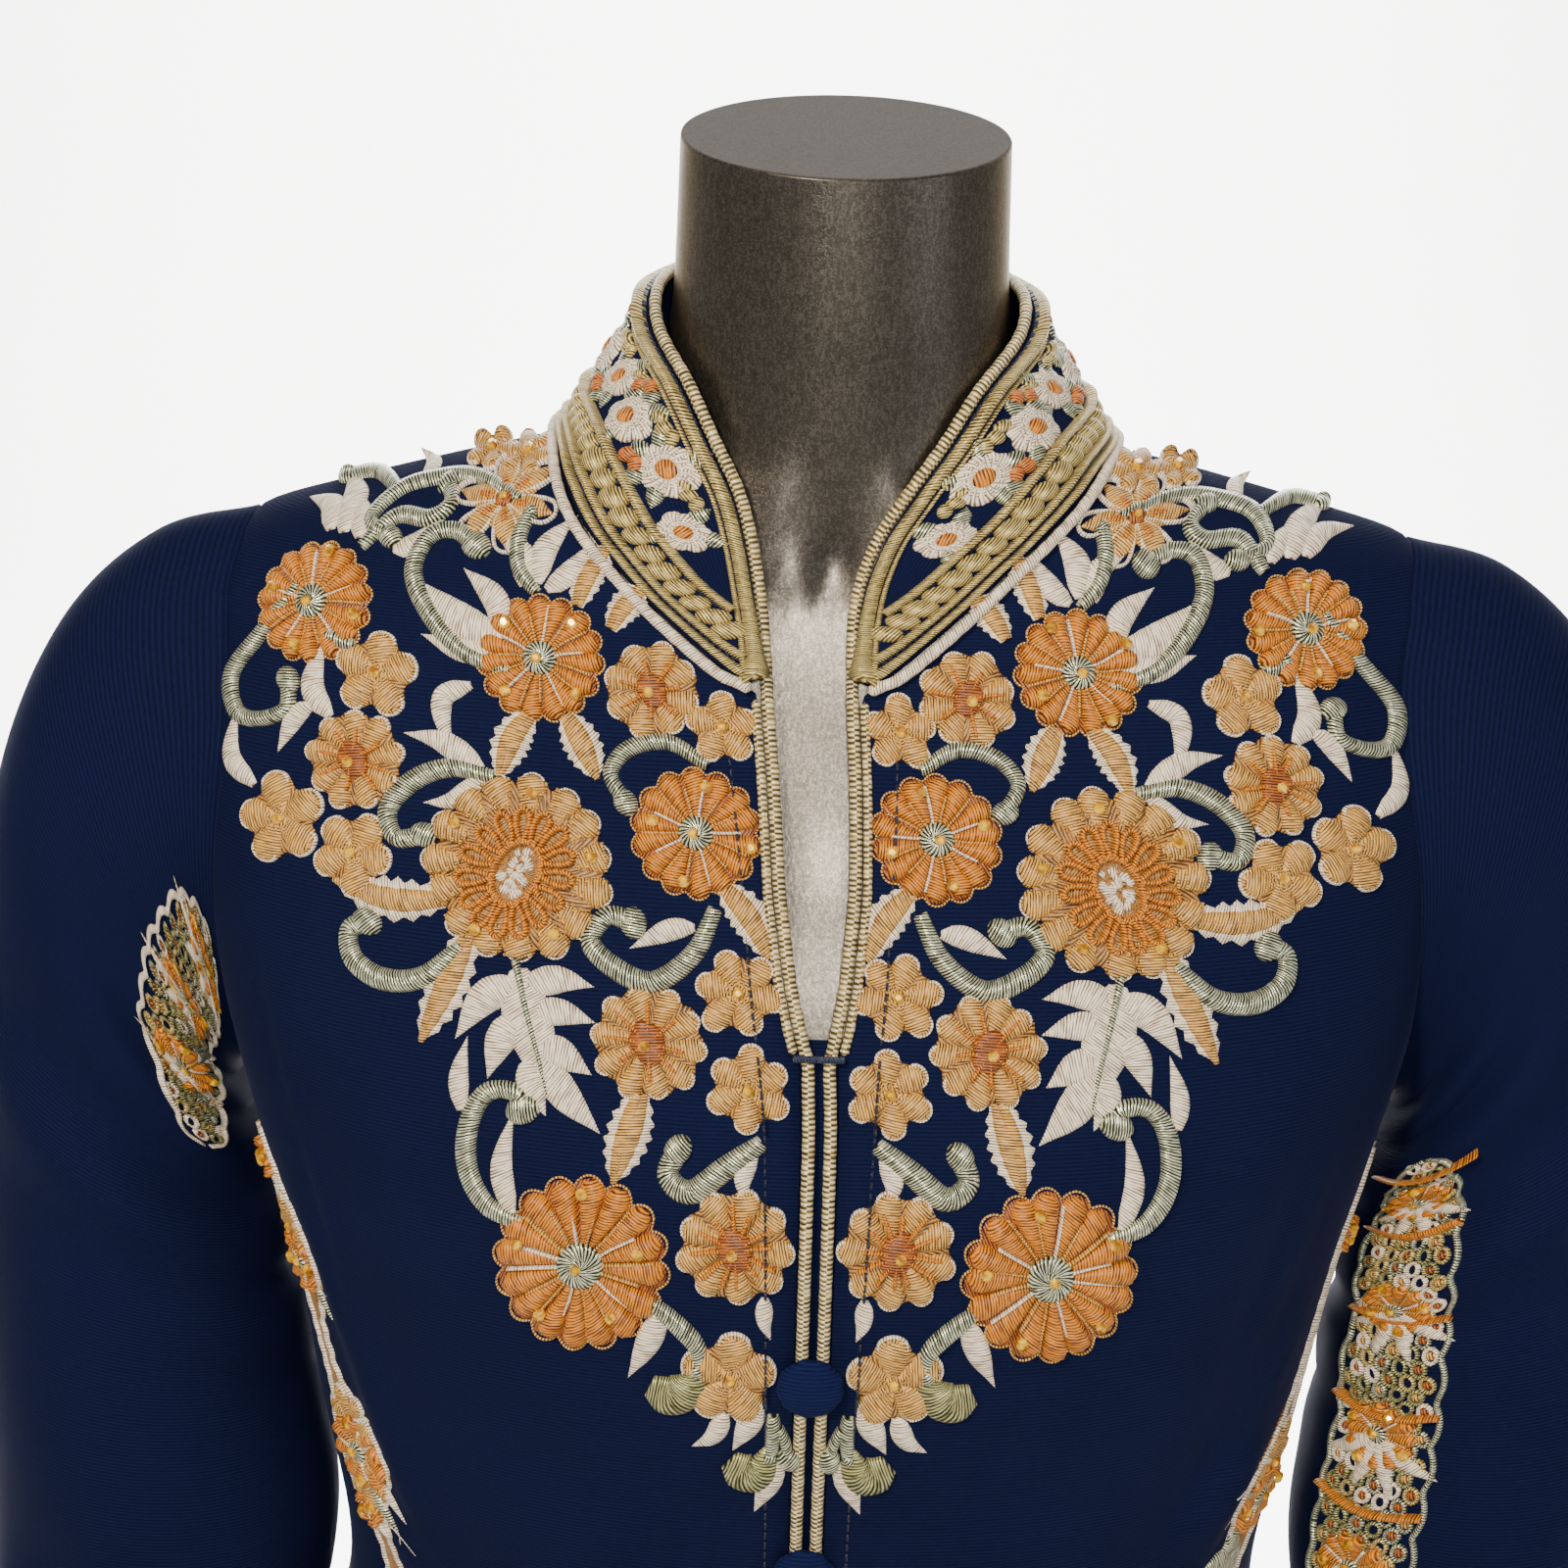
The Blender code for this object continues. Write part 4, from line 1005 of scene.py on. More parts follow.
class SleeveGround(Ground):
    """A sleeve's outside, measured round it from its top line towards the front, and down it by rows."""

    AROUND = 0.33
    DOWN = 0.60
    SEAM_OUT = 0.0031
    # The right sleeve hangs a little further out from one height down to the other
    SWING = {Side.LEFT: 0.000, Side.RIGHT: 0.009}
    SWING_FROM_Z = 1.220
    SWING_FULL_Z = 1.120
    TOP_PLAIN = 0.06
    # Length of a row in turns, for the creases
    ROW_TURNS = 0.17
    # Turn and row of the start, the same of the end, half width, depth
    CREASES = (
        (0.3, 2.2, 0.55, 3.0, 0.045, 0.0045), (0.2, 3.1, 0.6, 3.9, 0.04, 0.004),
        (0.1, 4.3, 0.52, 4.9, 0.05, 0.005), (0.28, 5.3, 0.72, 5.9, 0.04, 0.005),
        (0.35, 6.1, 0.8, 6.5, 0.035, 0.0038), (0.62, 6.9, 0.95, 7.6, 0.05, 0.0042),
        (0.05, 7.4, 0.4, 8.3, 0.05, 0.0042), (0.55, 8.6, 0.62, 10.6, 0.04, 0.0035),
        (0.88, 1.4, 0.97, 2.9, 0.045, 0.0035), (0.15, 8.9, 0.18, 10.8, 0.045, 0.004),
    )

    ROWS = len(SLEEVE_ROWS)

    def armhole(self, turn: Array) -> Array:
        """Points round the armhole, from the shoulder tip forwards."""
        z = ARMHOLE_MIDDLE_Z + ARMHOLE_HALF_HEIGHT * np.cos(turn)
        depth = ARMHOLE_HALF_DEPTH * np.abs(np.sin(turn))
        front, back = (GOWN.angle_of_depth(depth, z, rear) for rear in (False, True))
        angle = np.where(np.sin(turn) < 0, back, front)
        points = GOWN.at_angle(self.side.value * angle, z)
        points[:, 0] += self.side.value * self.SEAM_OUT
        return points

    def ring(self, row: SleeveRow, turn: Array) -> Array:
        """Points round one row."""
        level = np.array(row.under_z)
        part = np.clip((self.SWING_FROM_Z - level) / (self.SWING_FROM_Z - self.SWING_FULL_Z), 0, 1)
        out = self.SWING[self.side] * part
        side = GOWN.section(level)[0] + GOWN.relief(np.array(math.pi / 2), level)
        under = np.array((side + row.under_clear + out, row.mid_y, row.under_z))
        top = np.array((row.top_x + out, row.mid_y, row.top_z))
        points = (top + under) / 2 + (top - under) / 2 * np.cos(turn)[:, None]
        points[:, 1] -= row.half_depth * np.sin(turn)
        points[:, 0] *= self.side.value
        return points

    def inner(self, around: Array, down: Array) -> Array:
        """Points of the inner face, at turns from 0 to 1 and row numbers, with the creases in it."""
        turn = 2 * math.pi * around
        rows = np.stack([self.armhole(turn), *[self.ring(row, turn) for row in SLEEVE_ROWS]])
        points = along_rows(rows, down)
        out = unit((points - self.middle(down)) * (1.0, 1.0, 0.3))
        relief = np.zeros(len(around))
        for start, start_row, end, end_row, half_width, depth in self.CREASES:
            line = np.array((end - start, (end_row - start_row) * self.ROW_TURNS))
            up = (down - start_row) * self.ROW_TURNS
            relief += depth * ridge(around - start, up, line, half_width, 0.7)
        inwards = np.clip(1 - np.abs(around - 0.5) / 0.2, 0, 1)
        relief *= np.clip(np.minimum(around, 1 - around) / self.TOP_PLAIN, 0, 1)
        relief = np.where(relief > 0, relief * (1 - inwards), relief)
        return points + out * relief[:, None]

    def middle(self, down: Array) -> Array:
        """Points on the sleeve's own centre line."""
        turns = np.array((0.0, math.pi))
        rows = [self.armhole(turns).mean(0), *[self.ring(row, turns).mean(0) for row in SLEEVE_ROWS]]
        return along_rows(np.array(rows), down)

    def place(self, a: Array, b: Array) -> tuple[Array, Array]:
        """Find points and outward directions on the sleeve's outside.

        Args:
            a: Turns from the top line towards the front, in metres round a mean ring.
            b: Distances down from the armhole.

        Returns:
            The points and the directions.
        """
        around, down = a / self.AROUND, b / self.DOWN * self.ROWS
        points = self.inner(around, down)
        step = 0.004
        ahead, below = self.inner(around + step, down), self.inner(around, down + step * 4)
        out = unit(np.cross(ahead - points, below - points))
        level = points - self.middle(down)
        out *= np.sign(np.sum(out * level, axis=1))[:, None]
        return leaned(points + out * CLOTH), out


@dataclass
class DressForm:
    """Torso and neck in one smooth piece, with a flat cap that slopes forwards."""

    bottom_z: float = 0.800
    tilt: float = math.radians(9.0)
    tilt_start_z: float = 1.530
    columns: int = 144
    rows: int = 250
    rim: float = 0.0008
    # Soft mounds on both hands of the front: x, z, half width, half height, how far out
    mounds: tuple[tuple[float, ...], ...] = (
        (0.000, 1.366, 0.022, 0.032, 0.0024),
        (0.000, 1.452, 0.0075, 0.011, -0.0034),
        (0.011, 1.449, 0.0060, 0.010, 0.0026),
        (0.019, 1.471, 0.0070, 0.016, 0.0020),
    )

    def model_front(self, points: Array) -> None:
        """Raise the breastbone, the collarbones' ends and the neck's cords, and sink the notch."""
        front = points[:, 1] < 0
        for x, z, half_width, half_height, out in self.mounds:
            across = (np.abs(points[:, 0]) - x) / half_width
            up = (points[:, 2] - z) / half_height
            points[:, 1] -= front * out * np.exp(-(across**2) - up**2)

    def lean(self, points: Array) -> Array:
        """Lower the front of the neck's top."""
        part = np.clip((points[:, 2] - self.tilt_start_z) / (NECK_TOP_Z - self.tilt_start_z), 0, None)
        points[:, 2] += math.tan(self.tilt) * points[:, 1] * part
        return points

    def place(self, u: Array, v: Array) -> Array:
        """Wrap the grid up the torso to the cap's rim, in to the cap's middle, and in underneath."""
        z = self.bottom_z + (NECK_TOP_Z - self.bottom_z) * np.clip((v - 0.04) / 0.86, 0, 1)
        points = FORM.at_angle(2 * math.pi * u, z)
        self.model_front(points)
        cap = np.clip((v - 0.90) / 0.10, 0, 1)
        foot = np.clip(1 - v / 0.04, 0, 1)
        points[:, :2] *= (1 - np.maximum(cap, foot))[:, None]
        return self.lean(points)

    def build(self) -> None:
        """Build the form, with a small round on its rims and its cap in a finish of its own."""
        mesh = grid_mesh("dress_form_painted", self.columns, self.rows, self.place)
        obj = add_piece(mesh, [FlakePaint(), CapPaint()], ["dress_form"])
        for face in mesh.polygons:
            face.material_index = int(face.center.z > self.tilt_start_z and face.normal.z > 0.7)
        bevel = obj.modifiers.new("rim", "BEVEL")
        bevel.width = self.rim
        bevel.segments = 2
        bevel.limit_method = "ANGLE"
        bevel.angle_limit = math.radians(50)
        mesh.set_sharp_from_angle(angle=math.radians(50))


@dataclass
class Stand:
    """Round base, hub, pole and socket, each turned about the upright axis."""

    base_radius: float = 0.190
    base_height: float = 0.012
    hub_radius: float = 0.030
    hub_height: float = 0.032
    cone_tip: float = 0.0175
    pole_radius: float = 0.0125
    socket_radius: float = 0.032
    socket_height: float = 0.030
    torso_bottom: float = 0.800
    steps: int = 96

    def turned(self, name: str, profile: Sequence[Pair]) -> None:
        """Spin a profile of radius and height into a closed piece.

        Args:
            name: Node that the piece replaces.
            profile: Radius and height of each corner, from the axis below to the axis above.
        """
        bm = bmesh.new()
        points = [bm.verts.new((radius, 0.0, z)) for radius, z in profile]
        edges = [bm.edges.new(pair) for pair in zip(points, points[1:])]
        bmesh.ops.spin(
            bm,
            geom=points + edges,
            cent=(0, 0, 0),
            axis=(0, 0, 1),
            angle=2 * math.pi,
            steps=self.steps,
            use_merge=True,
        )
        bmesh.ops.remove_doubles(bm, verts=bm.verts, dist=1e-5)
        bmesh.ops.recalc_face_normals(bm, faces=bm.faces)
        mesh = new_mesh(name + "_turned", bm)
        mesh.set_sharp_from_angle(angle=math.radians(35))
        add_piece(mesh, [BrushedSteel()], [name])

    def rounded(
        self, radius: float, low: float, high: float, top: float | None = None, edge: float = 0.0015
    ) -> list[Pair]:
        """Profile of a cylinder or cone with rounded rims."""
        top = radius if top is None else top
        arc = [(math.cos(t), math.sin(t)) for t in np.linspace(0, math.pi / 2, 5)]
        under = [(radius - edge + edge * c, low + edge - edge * s) for c, s in arc[::-1]]
        over = [(top - edge + edge * c, high - edge + edge * s) for c, s in arc]
        return [(0.0, low), *under, *over, (0.0, high)]

    def build(self) -> None:
        """Build the four pieces from the floor up."""
        hub_low = self.base_height + SEAM_GAP
        hub_high = hub_low + self.hub_height
        socket_high = self.torso_bottom - SEAM_GAP
        socket_low = socket_high - self.socket_height
        self.turned("stand_base", self.rounded(self.base_radius, 0.0, self.base_height, edge=0.003))
        self.turned("stand_hub", self.rounded(self.hub_radius, hub_low, hub_high, self.cone_tip))
        self.turned("stand_pole", self.rounded(self.pole_radius, hub_high + SEAM_GAP, socket_low - SEAM_GAP))
        self.turned("stand_socket", self.rounded(self.cone_tip, socket_low, socket_high, self.socket_radius))


@dataclass
class Panels:
    """The two fronts and the back, from the hem to the neckline, shoulders and armholes."""

    slit_top_z: float = 1.4155
    back_top_z: float = 1.4820
    side_gap: float = 0.00005
    columns: int = 60
    rows: int = 185
    heights: Sequence[float] = (0.030, 0.500, 0.900, 1.200, 1.4155, 1.4802)
    height_shares: Sequence[float] = (0.0, 0.20, 0.42, 0.64, 0.82, 1.0)

    def neckline(self, back: bool) -> tuple[Array, Array]:
        """Heights of the neckline's places, and their distances from the centre."""
        seam = sorted((r.seam_z - NECKLINE_DROP, r.seam_x + SEAM_GAP) for r in COLLAR_ROWS if r.back == back)
        heights, distances = np.array(seam).T
        return heights, distances

    def outer_angle(self, z: Array, back: bool) -> Array:
        """Angle of the outer edge: the side seam, the armhole or the shoulder seam."""
        part = np.clip(1 - ((z - ARMHOLE_MIDDLE_Z) / ARMHOLE_HALF_HEIGHT) ** 2, 0, 1)
        seam = self.side_gap / GOWN.section(z)[0]
        straight = math.pi / 2 + seam if back else math.pi / 2 - seam
        curved = GOWN.angle_of_depth(ARMHOLE_HALF_DEPTH * np.sqrt(part), z, back)
        return np.where((z > ARMHOLE_LOW_Z) & (z < ARMHOLE_TOP_Z), curved, straight)

    def front_inner(self, z: Array) -> Array:
        """Distance of a front's inner edge from the centre: beside the cord, the seam or the neckline."""
        heights, distances = self.neckline(False)
        low = self.slit_top_z
        neck = np.interp(z, [low, *heights[1:]], [self.beside_cord(low), *distances[1:]])
        inner = np.where(z > low, neck, self.beside_cord(z))
        return np.where(z < PLACKET_END_Z - 0.002, SEAM_GAP / 2, inner)

    def beside_cord(self, z: float | Array) -> Array:
        """Distance from the centre just clear of the edge cord."""
        return slit_half_gap(z) + 2 * CORD_RADIUS + 2 * SEAM_GAP

    def build_front(self, side: Side) -> None:
        """Build one front as a thin shell."""

        def place(u: Array, v: Array) -> Array:
            """Points of the front, from its inner edge out and from the hem up."""
            z = np.interp(v, self.height_shares, self.heights)
            start = GOWN.angle_of_x(self.front_inner(z), z)
            angle = start + (self.outer_angle(z, False) - start) * u
            return leaned(GOWN.at_angle(side.value * angle, z))

        name = f"front_{side.label}"
        mesh = grid_mesh(name + "_cloth", self.columns, self.rows, place, flip=side is Side.LEFT)
        add_cloth(mesh, name)

    def build_back(self) -> None:
        """Build the back in one piece as a thin shell."""
        heights, distances = self.neckline(True)

        def place(u: Array, v: Array) -> Array:
            """Points of the back, from the left to the right and from the hem up."""
            z = np.interp(v, self.height_shares, [*self.heights[:-1], self.back_top_z])
            half = 2 * np.abs(u - 0.5)
            neck = math.pi - GOWN.angle_of_x(np.interp(z, heights, distances), z)
            start = np.where(z <= heights[0], math.pi, neck)
            angle = start + (self.outer_angle(z, True) - start) * half
            return GOWN.at_angle(np.where(u < 0.5, -1, 1) * angle, z)

        mesh = grid_mesh("back_cloth", 2 * self.columns, self.rows, place)
        add_cloth(mesh, "back")


@dataclass
class Sleeves:
    """The two long sleeves, empty and open at the wrist."""

    columns: int = 84
    rows: int = 140
    draw_up: float = 0.0028
    drawn_rows: float = 0.4

    def build(self, side: Side, ground: SleeveGround) -> None:
        """Build one sleeve as a thin shell."""

        def place(u: Array, v: Array) -> Array:
            """Points of the sleeve, round it and down it, drawn up to the panels where it meets them."""
            points = ground.inner(u, v * ground.ROWS)
            below = np.clip(1.8 + 2 * np.cos(2 * math.pi * u), 0, 1)
            drawn = np.clip(1 - v * ground.ROWS / self.drawn_rows, 0, 1) * below
            points[:, 0] -= side.value * self.draw_up * drawn
            return leaned(points)

        name = f"sleeve_{side.label}"
        mesh = grid_mesh(name + "_cloth", self.columns, self.rows, place, flip=side is Side.LEFT)
        add_cloth(mesh, name)


@dataclass
class Studio:
    """Pale floor with a curved back wall, soft lights and the camera."""

    eye: tuple[float, float, float] = (-0.014, -0.919, 1.662)
    down_deg: float = 18.0
    roll_deg: float = 1.6
    lens_mm: float = 65.25
    sensor_mm: float = 36.0
    floor_half: float = 9.0
    wall_half: float = 22.0
    wall_y: float = 5.0
    cove: float = 2.5
    wall_height: float = 6.0

    def build_floor(self) -> None:
        """Build the floor and wall as one sheet with a round cove."""
        mesh, flat = flat_grid("floor", 8, 96)
        gone = (flat[:, 1] / np.ptp(flat[:, 1]) + 0.5) * (self.floor_half + self.wall_y + self.wall_height)
        start = self.floor_half + self.wall_y - self.cove
        bend = np.clip((gone - start) / self.cove, 0, math.pi / 2)
        rise = np.clip(gone - start - self.cove * math.pi / 2, 0, None)
        y = np.minimum(gone, start) - self.floor_half + self.cove * np.sin(bend)
        z = self.cove * (1 - np.cos(bend)) + rise
        x = flat[:, 0] / np.ptp(flat[:, 0]) * 2 * self.wall_half
        set_points(mesh, np.stack([x, y, z], axis=1))
        mesh.materials.append(FloorPaint().material())
        link("floor", mesh)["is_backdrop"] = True

    def light(
        self, name: str, place: Sequence[float], size: float, watts: float, colour: str, aim: Sequence[float]
    ) -> None:
        """Add a soft square light.

        Args:
            name: Its name.
            place: Where it hangs.
            size: Its side.
            watts: Its power.
            colour: Its colour.
            aim: The point that it faces.
        """
        lamp = bpy.data.lights.new(name, "AREA")
        lamp.size = size
        lamp.energy = watts
        lamp.color = linear(colour)[:3]
        obj = link(name, lamp)
        obj.location = place
        obj.rotation_euler = (Vector(aim) - Vector(place)).to_track_quat("-Z", "Y").to_euler()

    def build(self) -> None:
        """Build the floor, the lights, the pale surroundings and the camera."""
        self.build_floor()
        chest = (0.0, 0.0, 1.33)
        self.light("key", (-0.78, -1.65, 2.75), 0.30, 50.0, "#fff2e0", chest)
        self.light("flash", (0.03, -1.5, 1.93), 0.12, 16.0, "#fffaf2", chest)
        self.light("fill", (1.9, -1.2, 1.9), 1.2, 8.0, "#f2f5ff", chest)
        self.light("rim", (0.9, 1.4, 2.8), 0.8, 10.0, "#ffffff", chest)
        self.light("wall", (0.0, 1.2, 3.0), 2.6, 1300.0, "#ffffff", (0.0, 4.6, 1.4))
        world = bpy.data.worlds.new("pale_room")
        world.use_nodes = True
        sky = world.node_tree.nodes["Background"]
        sky.inputs["Color"].default_value = linear("#f6f6f4")
        sky.inputs["Strength"].default_value = 0.30
        bpy.context.scene.world = world
        camera = bpy.data.cameras.new("camera")
        camera.lens = self.lens_mm
        camera.sensor_width = self.sensor_mm
        camera.clip_end = 60.0
        obj = link("camera", camera)
        turn = Euler((math.radians(90 - self.down_deg), 0.0, 0.0)).to_matrix().to_4x4()
        roll = Matrix.Rotation(math.radians(self.roll_deg), 4, "Z")
        obj.matrix_world = Matrix.Translation(self.eye) @ turn @ roll
        bpy.context.scene.camera = obj


class Stitching:
    """Raised embroidery on one ground, in mm: many small nets of points, gathered into one mesh."""

    SINK = 0.25
    RAISE = 1.28
    STEP = 1.3
    EDGE = 0.97

    def __init__(self, ground: Ground, seed: int) -> None:
        """Start empty on a ground, with its own dice for uneven stitches."""
        self.ground = ground
        self.dice = np.random.default_rng(seed)
        self.bm = bmesh.new()
        self.nets: dict[tuple[int, int], tuple[Mesh, Array]] = {}
        self.places: list[Array] = []
        self.threads: list[Array] = []
        self.kinds: list[Yarn] = []
        self.counts: list[int] = []

    def net(self, kind: Yarn, places: Array, threads: Array) -> None:
        """Add one net of points.

        Args:
            kind: Thread or stone that it is made of.
            places: Rows of points across, each with its place on the ground and its height.
            threads: Distances along and across the stitches at each point.
        """
        rows, columns = places.shape[:2]
        key = (columns - 1, rows - 1)
        if key not in self.nets:
            mesh, flat = flat_grid("net", *key)
            self.nets[key] = mesh, np.lexsort((flat[:, 0].round(5), flat[:, 1].round(5)))
        mesh, order = self.nets[key]
        self.bm.from_mesh(mesh)
        for store, values in ((self.places, places), (self.threads, threads)):
            ordered = np.empty((rows * columns, values.shape[2]))
            ordered[order] = values.reshape(rows * columns, -1)
            store.append(ordered)
        self.kinds.append(kind)
        self.counts.append(len(mesh.polygons))

    def ribbon(
        self,
        yarn: Yarn,
        line: Line,
        widths: Sequence[float],
        crown: float,
        lift: float = 0.0,
        columns: int = 6,
        step: float = STEP,
        closed: bool = False,
    ) -> None:
        """Lay satin stitches across a line, domed in its section.

        Args:
            yarn: Its thread.
            line: Points that it follows smoothly.
            widths: Half widths at even places from its start to its end.
            crown: How far its middle stands over its lift.
            lift: Height of its sides.
            columns: Faces across.
            step: Length of a face along.
            closed: Whether its end joins its start.
        """
        rough = curve_through(line, 40)
        length = length_of(rough)
        path = curve_through(line, max(4, round(length / step)) + 1)
        count = len(path)
        ahead = np.gradient(path, axis=0)
        if closed:
            ahead[0] = ahead[-1] = ahead[0] + ahead[-1]
        ahead = unit(ahead)
        right = np.stack([ahead[:, 1], -ahead[:, 0]], axis=1)
        shares = np.linspace(0, 1, count), np.linspace(0, 1, len(widths))
        half = np.interp(*shares, widths)
        turn = np.linspace(-math.pi / 2, math.pi / 2, columns - 1)
        across = np.concatenate([[-1.0], self.EDGE * np.sin(turn), [1.0]])
        rise = np.concatenate([[0.0], np.cos(turn), [0.0]])
        full = np.clip(half / max(widths), 0, 1) ** 0.6
        heights = lift * full[:, None] + crown * full[:, None] * rise
        heights[:, [0, -1]] = -self.SINK
        spots = path[:, None, :] + right[:, None, :] * (half[:, None] * across)[..., None]
        along = np.linspace(0, length, count)
        threads = np.stack(np.broadcast_arrays(along[:, None], half[:, None] * across), axis=-1)
        places = np.concatenate([spots, heights[..., None]], axis=-1)
        if not closed:
            ends = places[[0, -1]].copy()
            ends[..., 2] = -self.SINK
            places = np.concatenate([ends[:1], places, ends[1:]])
            threads = np.concatenate([threads[:1], threads, threads[-1:]])
        self.net(yarn, places, threads)

    def rope(
        self,
        yarn: Yarn,
        line: Line,
        radius: float,
        lift: float = 0.0,
        step: float = STEP,
        closed: bool = False,
    ) -> None:
        """Couch a round thread or cord along a line."""
        columns = 4 if radius < 0.7 else 6
        self.ribbon(yarn, line, (radius, radius), radius * 1.5, lift, columns, step, closed)

    def disc(
        self,
        yarn: Yarn,
        centre: Pair | Array,
        radius: float,
        crown: float,
        lift: float = 0.0,
        columns: int = 18,
        rows: int = 4,
        lobes: int = 0,
        notch: float = 0.0,
        turn: float = 0.0,
        stretch: float = 1.0,
        fan: bool = False,
    ) -> None:
        """Fill a round, oval or lobed shape, domed in the middle.

        Args:
            yarn: Its thread or stone.
            centre: Its middle.
            radius: Its radius, along its stretch.
            crown: How far its middle stands over its lift.
            lift: Height of its rim.
            columns: Faces round it.
            rows: Faces from the rim to the middle.
            lobes: How many scallops its rim has.
            notch: Share of the radius that is cut in between the scallops.
            turn: Angle of the stretch, or of the first scallop.
            stretch: Width over length of an oval.
            fan: Whether the stitches run out from the middle.
        """
        angle = np.linspace(0, 2 * math.pi, columns + 1)
        share = np.cos(np.linspace(0, math.pi / 2, rows + 1))
        share[0], share[-1] = 1.0, 0.0
        rim = radius * (1 - notch * (1 - np.abs(np.cos(lobes * angle / 2)) ** 0.7))
        reach = share[:, None] * rim
        x, y = reach * np.cos(angle), reach * np.sin(angle) * stretch
        level = lift + crown * np.sqrt(1 - share**2)
        heights = np.concatenate([[-self.SINK], level])[:, None] * np.ones(columns + 1)
        x, y = (np.concatenate([values[:1] * 1.01, values]) for values in (x, y))
        if fan:
            spread = 0.62 * radius * (angle * np.ones((rows + 2, 1)))
            threads = np.stack([spread, np.hypot(x, y)], axis=-1)
        else:
            threads = np.stack([x, y], axis=-1)
        self.net(yarn, np.dstack([swung(centre, x, y, turn), heights]), threads)

    def stone(self, centre: Pair | Array, radius: float, lift: float) -> None:
        """Set a flat-topped stone with eight sides."""
        angle = np.linspace(0, 2 * math.pi, 9) + self.dice.uniform(0, 1)
        shares = np.array((1.0, 1.0, 0.55, 0.0))
        levels = lift + np.array((-0.6, 0.5, 1.1, 1.1))
        a = centre[0] + radius * shares[:, None] * np.cos(angle)
        b = centre[1] + radius * shares[:, None] * np.sin(angle)
        heights = levels[:, None] * np.ones(len(angle))
        self.net(Yarn.STONE, np.stack([a, b, heights], axis=-1), np.stack([a, b], axis=-1))

    def finish(self, name: str, slot: str, stands_for: Sequence[str] = (), faceted: bool = False) -> None:
        """Lay the nets on the ground and join them.

        Args:
            name: The piece's name.
            slot: Name of a slot in the record; not used.
            stands_for: Solids that it replaces.
            faceted: Whether its faces are flat, as on cut stones.
        """
        mesh = new_mesh(name, self.bm)
        a, b, height = np.vstack(self.places).T * MM
        height = np.where(height > 0, height * self.RAISE, height)
        points, out = self.ground.place(a, b)
        kinds = list(dict.fromkeys(self.kinds))
        slots = [kinds.index(kind) for kind in self.kinds]
        mesh.polygons.foreach_set("material_index", np.repeat(slots, self.counts).astype(np.int32))
        set_uv(mesh, "threads", np.vstack(self.threads) * MM)
        set_points(mesh, points + out * height[:, None])
        close_seams(mesh, self.ground.flip)
        if faceted:
            mesh.shade_flat()
        add_piece(mesh, [kind.value for kind in kinds], stands_for)


def swung(centre: Pair | Array, x: Array, y: Array, turn: float) -> Array:
    """Places at distances along a direction and across it, from a middle."""
    a = centre[0] + x * math.cos(turn) - y * math.sin(turn)
    b = centre[1] + x * math.sin(turn) + y * math.cos(turn)
    return np.stack([a, b], axis=-1)


def around(
    centre: Pair | Array, radius: float, angle: float | Array, stretch: float = 1.0, turn: float = 0.0
) -> Array:
    """Places round a middle, on a circle or on an oval turned by an angle."""
    return swung(centre, radius * np.cos(angle), radius * stretch * np.sin(angle), turn)


def petal_widths(inner: float, outer: float, fullest: float = 0.74, count: int = 13) -> list[float]:
    """Half widths of a petal that widens outwards and has a round end."""
    shares = np.linspace(0, 1, count)
    cap = np.sqrt(np.clip(1 - ((shares - fullest) / (1 - fullest)) ** 2, 0, 1))
    widening = inner + (outer - inner) * np.minimum(shares / fullest, 1)
    return list(widening * np.where(shares > fullest, cap, 1))


def teardrop(centre: Pair | Array, angle: float, start: float, end: float, half: float) -> Array:
    """Closed loop of a petal's outline, narrow at its start and round at its end."""
    turns = np.linspace(-math.pi, math.pi, 9)
    along = start + (end - start) * (0.5 + 0.5 * np.cos(turns))
    return swung(centre, along, half * np.sin(turns) * (0.62 + 0.38 * np.cos(turns)), angle)


@dataclass(frozen=True)
class Bloom:
    """A flower on the yoke: its middle, radius and petals, in mm."""

    a: float
    b: float
    radius: float
    petals: int
    turn: float = 0.0

    @property
    def centre(self) -> Array:
        """Its middle."""
        return np.array((self.a, self.b))

    def angles(self, work: Stitching, wobble: float = 0.06) -> Array:
        """Angles of its petals, a little uneven."""
        even = self.turn + 2 * math.pi * np.arange(self.petals) / self.petals
        return even + work.dice.uniform(-wobble, wobble, self.petals)

    def spoke(self, angle: float, *reaches: float) -> list[Array]:
        """Places straight out from its middle, at shares of its radius."""
        ahead = around(self.centre, 1.0, angle) - self.centre
        return [self.centre + ahead * self.radius * reach for reach in reaches]

    def base(self, work: Stitching, yarn: Yarn, share: float, notch: float, **shape: float) -> None:
        """Sew the scalloped ground under its petals.

        Args:
            work: Embroidery that takes it.
            yarn: Its thread.
            share: Its radius as a share of the flower's.
            notch: Share of its radius that is cut in between the scallops.
            **shape: The disc's other sizes.
        """
        size = self.radius * share
        work.disc(yarn, self.centre, size, lobes=self.petals, notch=notch, turn=self.turn, **shape)

    def outline(self, notch: float) -> Array:
        """Scalloped closed line round its petals."""
        angle = np.linspace(0, 2 * math.pi, self.petals * 9 + 1)
        scallops = np.abs(np.cos(self.petals * (angle - self.turn) / 2)) ** 0.7
        reach = self.radius * (1 - notch * (1 - scallops))
        return self.centre + np.stack([reach * np.cos(angle), reach * np.sin(angle)], axis=1)

    def sew(self, work: Stitching, stones: Stitching) -> None:
        """Sew the flower."""
        raise NotImplementedError


